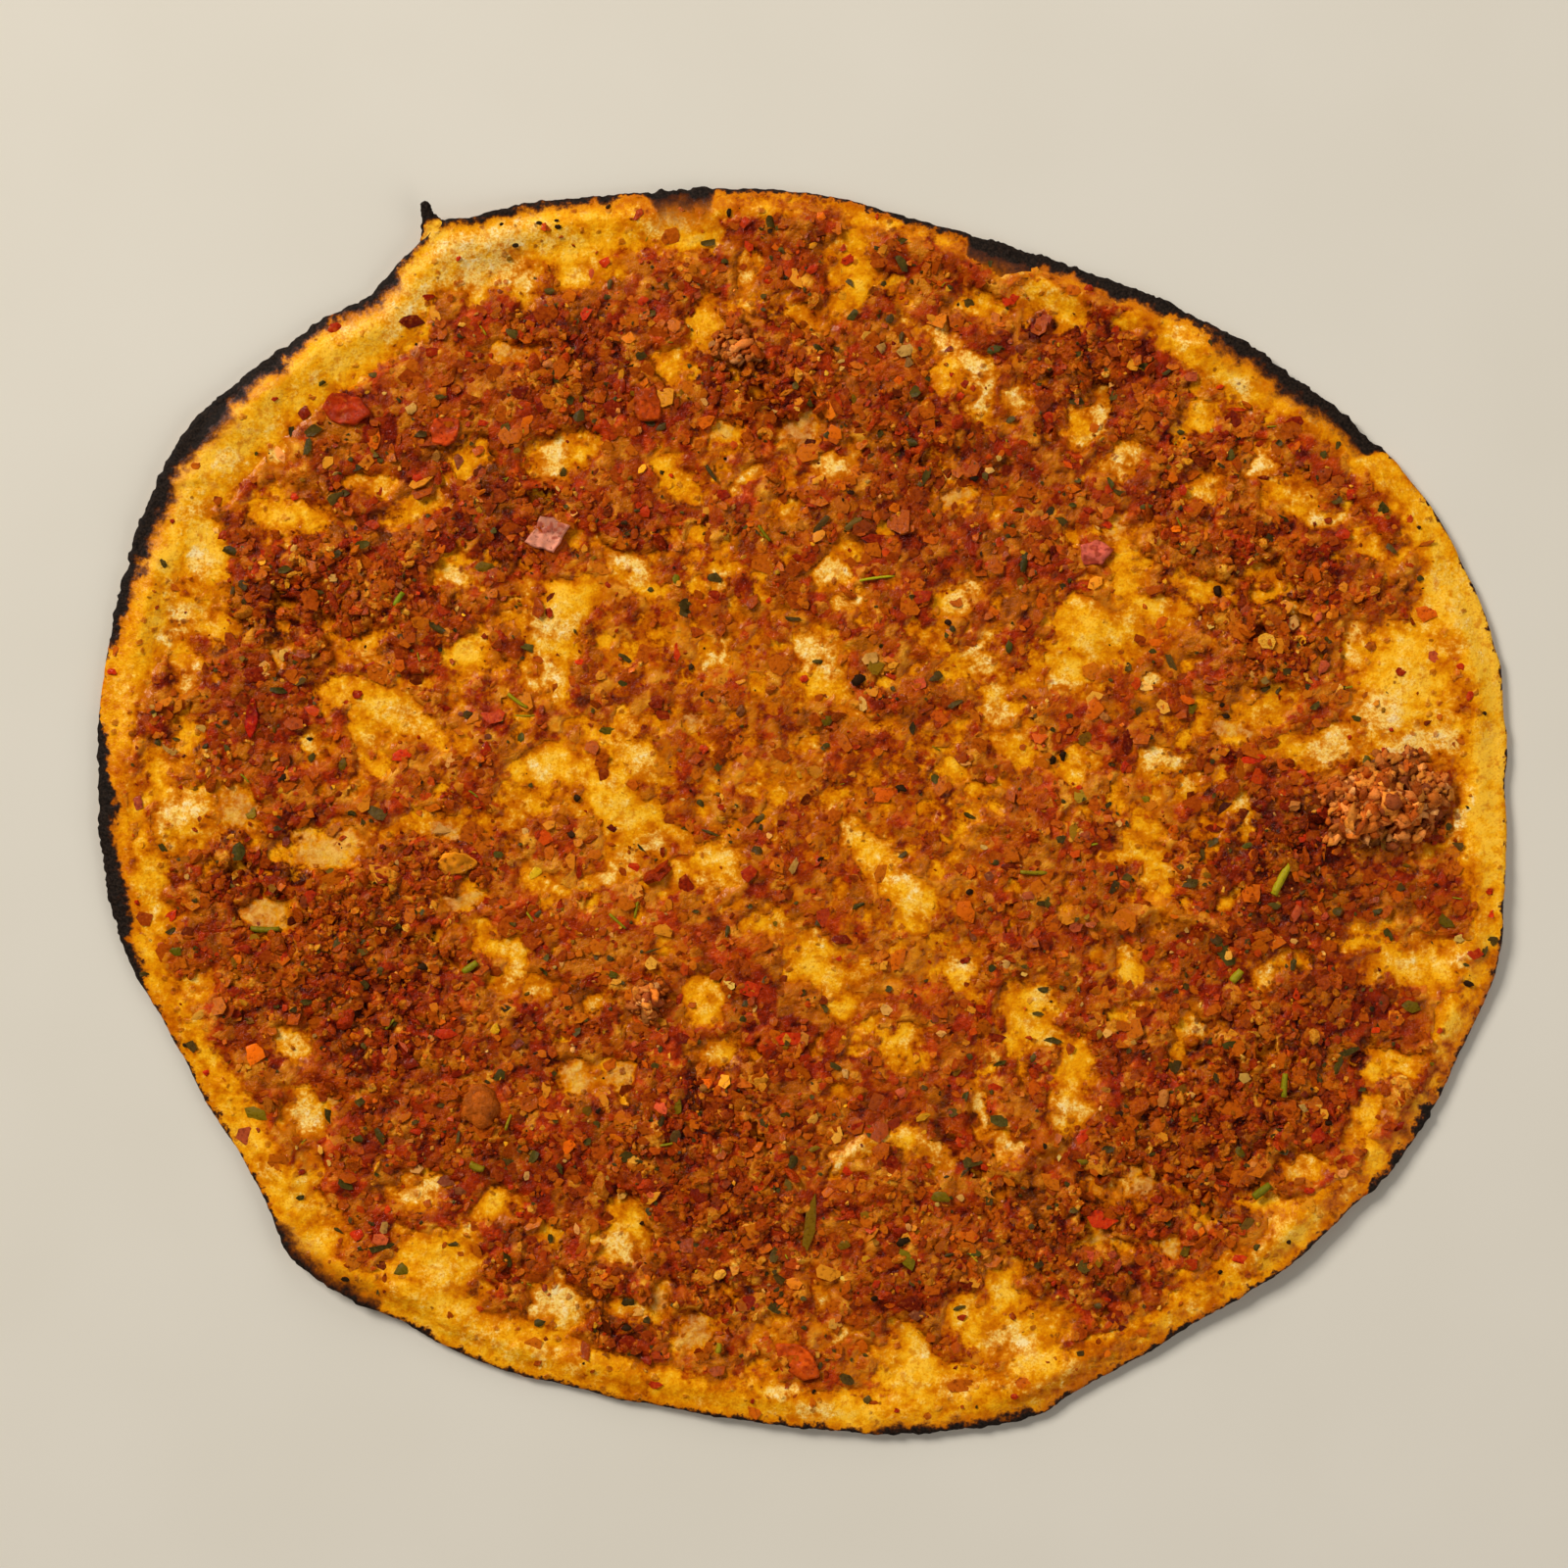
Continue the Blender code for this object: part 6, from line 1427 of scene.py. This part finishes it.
def crumbly(name, px, py, length, width, height, turn, count, grain, seed, painted_top_light=1.0, blend=0.0):
    """A clump of mince: uneven crumbs heaped on a low, lumpy core."""
    local = np.random.default_rng(seed)
    cx, cy = from_px(px, py)
    a = math.radians(turn)

    def shape(q, t):
        rim = 1.0 + 0.17 * np.sin(2 * t + seed) + 0.12 * np.sin(5 * t + 2 * seed) + 0.07 * np.sin(9 * t)
        u, w = 0.5 * length * q * rim * np.cos(t), 0.5 * width * q * rim * np.sin(t)
        bumps = 0.80 + 0.50 * noise1(u + 31 * seed, w, 6.0, seed + 3) + 0.28 * noise1(u, w + 17 * seed, 3.0, seed + 5)
        high = height * np.clip(1 - q ** 2.4, 0, 1) ** 0.55 * np.clip(bumps, 0.22, 1.3)
        x = cx + u * math.cos(a) - w * math.sin(a)
        y = cy + u * math.sin(a) + w * math.cos(a)
        return x, y, high, bumps

    rings, around_n = 26, 84
    q = np.repeat((np.arange(rings) + 1) / rings, around_n)
    t = np.tile(np.arange(around_n) * 2 * math.pi / around_n, rings)
    x, y, high, bumps = shape(q, t)
    z = sample(z_top, x, y) + 0.80 * high - 0.35 - 0.5 * (q > 0.99)
    tag = cells(x, y, 2.4, seed)[2]
    ends_x, ends_y, ends_h, _ = shape(np.zeros(1), np.zeros(1))
    ground = float(sample(z_top, ends_x, ends_y)[0])
    core = np.vstack([np.stack([x, y, z], 1), [[ends_x[0], ends_y[0], ground + 0.80 * ends_h[0] - 0.35]],
                      [[ends_x[0], ends_y[0], ground - 0.9]]])
    f = []
    for i in range(around_n):
        j = (i + 1) % around_n
        f.append((rings * around_n, i, j))
        f.append((rings * around_n + 1, (rings - 1) * around_n + j, (rings - 1) * around_n + i))
        for k in range(rings - 1):
            o, n = k * around_n, (k + 1) * around_n
            f += [(o + i, n + i, n + j), (o + i, n + j, o + j)]
    # the core shows only between the crumbs: painted shade there, 0.70 of the crumb colours, and darker where its bumps
    # run low, lighter where they rise
    core_tint = np.array(MEAT_TINTS)[np.append((tag * 7.99).astype(int), [3, 3])] * 0.70
    core_tint = core_tint * np.append(np.clip(0.2 + bumps, 0.5, 1.3), [1, 1])[:, None]
    # the crumbs
    q = np.sqrt(local.uniform(0, 1.0, count))
    t = local.uniform(0, 2 * math.pi, count)
    x, y, high, bumps = shape(q, t)
    s = np.minimum(local.lognormal(math.log(grain), 0.42, count), 1.6 * grain) * np.clip(1.15 - 0.35 * q, 0.6, 1.2)
    size = np.stack([s * local.uniform(0.9, 1.7, count), s * local.uniform(0.6, 1.05, count),
                     s * local.uniform(0.4, 0.85, count)], 1)
    z = sample(z_top, x, y) + 0.80 * high - 0.35 + local.uniform(-0.2, 0.75, count)
    pick = local.integers(0, len(MEAT_TINTS), count)
    tint = np.array(MEAT_TINTS)[pick] * local.lognormal(0.16, 0.16, count)[:, None]
    # painted shade and light: crumbs darker where the clump's bumps run low, a little lighter on the outer ring, and
    # lighter toward the middle, on top of the clump, by the last factor
    dark = np.clip(0.36 + 0.85 * bumps + 0.25 * (q > 0.8), 0.50, 1.25)
    tint = tint * dark[:, None] * (painted_top_light + (1.0 - painted_top_light) * smooth(0.35, 0.90, q))[:, None]
    like = shade_at(MINCE_STOPS, np.clip(0.46 + local.normal(0, 0.13, count), 0.1, 0.9))
    tint = np.clip(tint + (blend * smooth(0.40, 0.85, q))[:, None] * (like - tint), 0, 1)
    shapes, face = knobbly(2, 0.38, 30, seed + 7)
    pts, faces, at = joined(shapes, face, x, y, size, {"tint": tint}, tilt=0.7, sink=0.50, lift_by=z, local=local)
    return new_object(name, np.vstack([core, pts]), np.vstack([np.array(f), faces + len(core)]), meat_mat,
                      {"tint": np.vstack([core_tint, at["tint"]])})


clump = crumbly("meat_clump", 1412, 817, 33.0, 17.2, 5.4, 20, 400, 1.45, 61, painted_top_light=1.12)
lump_low = crumbly("meat_lump_low", 662, 1020, 10.5, 8.6, 3.8, 20, 70, 1.15, 62, painted_top_light=1.45, blend=0.8)
lump_top = crumbly("meat_lump_top", 750, 355, 11.0, 8.0, 3.4, -35, 70, 1.15, 63, painted_top_light=1.45, blend=0.8)
ball = lump("meat_ball", 490, 1127, 8.2, 9.4, 3.4, 0, 5, 0.10, lin(180, 84, 14), 2.2)


def cut_piece(name, px, py, corners, thick, turn, tint, seed, sink=0.30, tilt=0.0, soft=2, pits=None):
    """A piece of cut vegetable: a low slab with soft corners, and a surface
    that cooking has shrunk and pitted."""
    cx, cy = from_px(px, py)
    n = len(corners)
    rings, around_n = 22, 72
    a = np.arange(around_n) * 2 * math.pi / around_n
    # straight sides between the corners
    corner_a = np.arange(n) * 2 * math.pi / n
    cxs, cys = np.array(corners) * np.cos(corner_a), np.array(corners) * np.sin(corner_a)
    k = np.floor(a / (2 * math.pi / n)).astype(int) % n
    k1 = (k + 1) % n
    ex_, ey_ = cxs[k1] - cxs[k], cys[k1] - cys[k]
    den = np.cos(a) * ey_ - np.sin(a) * ex_
    r_side = (cxs[k] * ey_ - cys[k] * ex_) / den
    r_edge = r_side
    for _ in range(soft):
        r_edge = 0.25 * np.roll(r_edge, 1) + 0.5 * r_edge + 0.25 * np.roll(r_edge, -1)
    r_edge = r_edge * (1 + 0.04 * np.sin(3 * a + seed) + 0.03 * np.sin(7 * a + 2 * seed))
    verts = [(0.0, 0.0, thick)]
    profile = []
    for q in range(1, rings + 1):
        s = q / rings
        if s < 0.55:
            profile.append((s / 0.55 * 0.86, 1.0))
        elif s < 0.85:
            u = (s - 0.55) / 0.30 * math.pi / 2
            profile.append((0.86 + 0.14 * math.sin(u), 0.62 + 0.38 * math.cos(u)))
        else:
            profile.append((1.0 - 0.10 * (s - 0.85) / 0.15, 0.62 * (1 - (s - 0.85) / 0.15)))
    for fr, fz in profile:
        for i in range(around_n):
            verts.append((fr * r_edge[i] * math.cos(a[i]), fr * r_edge[i] * math.sin(a[i]), fz * thick))
    verts.append((0.0, 0.0, 0.0))
    w = np.array(verts)
    relief = (0.55 * noise1(w[:, 0] + 9 * seed, w[:, 1], 3.6, 901)
              + 0.30 * noise1(w[:, 0], w[:, 1] + 7 * seed, 1.5, 903))
    w[:, 2] += relief * (w[:, 2] / thick) * min(1.0, thick * 0.6)
    w[:, 2] += math.tan(math.radians(tilt)) * w[:, 0]
    f = []
    for i in range(around_n):
        j = (i + 1) % around_n
        f.append((0, 1 + i, 1 + j))
        for q in range(rings - 1):
            p0, p1 = 1 + q * around_n, 1 + (q + 1) * around_n
            f += [(p0 + i, p1 + i, p1 + j), (p0 + i, p1 + j, p0 + j)]
        f.append((1 + (rings - 1) * around_n + i, len(verts) - 1, 1 + (rings - 1) * around_n + j))
    t = math.radians(turn)
    x = cx + w[:, 0] * math.cos(t) - w[:, 1] * math.sin(t)
    y = cy + w[:, 0] * math.sin(t) + w[:, 1] * math.cos(t)
    ground = float(np.mean(sample(z_top, cx + 2.5 * np.cos(a), cy + 2.5 * np.sin(a))))
    z = w[:, 2] + ground - sink * thick
    # painted light and shade: lighter where the relief rises and darker where it sinks, over random mottle; the dark
    # pit colour comes in random patches that lean a little into the low places, partly painted shade
    shade = 0.95 + 0.45 * noise1(x, y, 2.8, 911) + 0.22 * noise1(x, y, 1.1, 913) + 0.35 * relief
    colour = np.array(tint)[None] * shade[:, None]
    if pits is not None:
        share = smooth(0.30, 0.60, 0.7 * noise1(x, y, 2.1, 921) + 0.8 * noise1(x, y, 0.9, 923) - 0.15 * relief)[:, None]
        colour = colour + 0.75 * share * (np.array(pits)[None] - colour)
    return new_object(name, np.stack([x, y, z], 1), f, veg_mat, {"tint": np.clip(colour, 0, 1)})


cuts = {
    "tomato_piece_1": cut_piece("tomato_upper_left", 352, 418, (5.9, 4.3, 3.6, 4.6, 5.6, 4.2, 3.3, 4.6),
                                1.5, -8, lin(156, 40, 4), 1, sink=0.46, tilt=3, soft=1, pits=lin(140, 30, 4)),
    "tomato_piece_2": cut_piece("tomato_diamond", 454, 440, (4.1, 3.3, 3.5, 3.4, 3.9, 3.3, 3.4, 3.2),
                                1.4, 40, lin(186, 60, 12), 2, sink=0.46, tilt=4, soft=1, pits=lin(150, 40, 6)),
    "tomato_piece_3": cut_piece("tomato_bottom", 813, 1388, (6.6, 4.2, 3.2, 4.0, 6.2, 4.0, 3.3, 4.4),
                                1.4, -36, lin(182, 66, 6), 3, sink=0.46, tilt=2, soft=1, pits=lin(160, 48, 6)),
    "pepper_dice_1": cut_piece("dice_left", 558, 545, (5.6, 3.9, 4.2, 3.0, 5.3, 3.7, 4.6, 3.4), 2.0, 20,
                               lin(236, 150, 118), 4, sink=0.3, tilt=-4, soft=0, pits=lin(156, 56, 34)),
    "pepper_dice_2": cut_piece("dice_right", 1118, 564, (4.4, 3.0, 3.8, 4.1, 2.9), 1.9, 10,
                               lin(206, 92, 70), 5, sink=0.3, tilt=-4, soft=0, pits=lin(150, 44, 24)),
    "orange_pepper": cut_piece("pepper_orange", 660, 412, (5.2, 3.1, 4.5, 5.0, 3.2, 4.3), 1.6, -55,
                               lin(164, 56, 2), 6, sink=0.42, tilt=6, soft=0, pits=lin(140, 44, 2)),
    "pepper_strip": cut_piece("pepper_red_strip", 257, 734, (5.4, 2.0, 1.5, 2.1, 5.2, 1.9, 1.5, 2.0),
                              1.4, 86, lin(156, 20, 4), 7, sink=0.4, tilt=2),
    "yellow_pepper": cut_piece("pepper_yellow", 465, 881, (5.2, 3.2, 2.6, 3.4, 5.0, 3.0, 2.6, 3.1),
                               1.5, 4, lin(210, 124, 14), 8, sink=0.4, tilt=4),
}

# ------------------------------------------------------------- tie to the part
everything = [bread, spur, sheet, coarse_crumbs, fine_crumbs, clump, lump_low, lump_top, ball,
              *made, *cuts.values()]
for obj in everything:
    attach(obj, "root")
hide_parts("flatbread")
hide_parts("mince_topping")
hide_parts("mince_clump")
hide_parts("mince_lump_low")
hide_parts("mince_lump_top")
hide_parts("meatball_piece")
for node, obj in cuts.items():
    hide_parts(node)

# ------------------------------------------------------- floor, light, camera
floor_look = Look("plain_floor", specular=0.1)
soft = floor_look.noise(60.0, 2.0, 0.5)
floor_mat = floor_look.done(floor_look.ramp(soft, [(0.3, (0.655, 0.600, 0.500)), (0.7, (0.675, 0.620, 0.522))]), 0.9)
mesh = bpy.data.meshes.new("floor")
mesh.from_pydata([(-3, -3, 0), (3, -3, 0), (3, 3, 0), (-3, 3, 0)], [], [(0, 1, 2, 3)])
mesh.materials.append(floor_mat)
floor = bpy.data.objects.new("floor", mesh)
bpy.context.scene.collection.objects.link(floor)


def area(name, place, aim, size, power, colour):
    light = bpy.data.lights.new(name, "AREA")
    light.shape = "SQUARE"
    light.size = size
    light.energy = power
    light.color = colour
    obj = bpy.data.objects.new(name, light)
    obj.location = place
    obj.rotation_euler = (Vector(aim) - Vector(place)).to_track_quat("-Z", "Y").to_euler()
    bpy.context.scene.collection.objects.link(obj)
    return obj


area("key", (-1.52, 1.36, 1.70), (0, 0, 0), 0.90, 72.5, (1.0, 0.985, 0.96))
area("fill", (1.2, -0.8, 1.0), (0, 0, 0), 1.4, 11.3, (1.0, 0.99, 0.98))
area("back", (0.3, 1.5, 0.9), (0, 0, 0), 1.0, 6.0, (1.0, 0.99, 0.98))

world = bpy.data.worlds.new("studio")
world.use_nodes = True
world.node_tree.nodes["Background"].inputs[0].default_value = (1.0, 0.98, 0.95, 1.0)
world.node_tree.nodes["Background"].inputs[1].default_value = 0.105
bpy.context.scene.world = world
bpy.context.scene.view_settings.view_transform = "Standard"
bpy.context.scene.view_settings.look = "None"
bpy.context.scene.view_settings.exposure = 0.0
bpy.context.scene.view_settings.gamma = 1.0

camera_data = bpy.data.cameras.new("camera")
camera_data.lens = 85.0
camera_data.sensor_width = 36.0
camera = bpy.data.objects.new("camera", camera_data)
distance = 1600 * PX * MM * 85.0 / 36.0
middle = from_px(800, 800)
camera.location = ((middle[0] - MID_X) * MM, (middle[1] - MID_Y) * MM, distance + 0.0042)
camera.rotation_euler = (0.0, 0.0, 0.0)
bpy.context.scene.collection.objects.link(camera)
bpy.context.scene.camera = camera

counts = {o.name: sum(len(p.vertices) - 2 for p in o.data.polygons) for o in everything}
print("triangles", sum(counts.values()), counts)
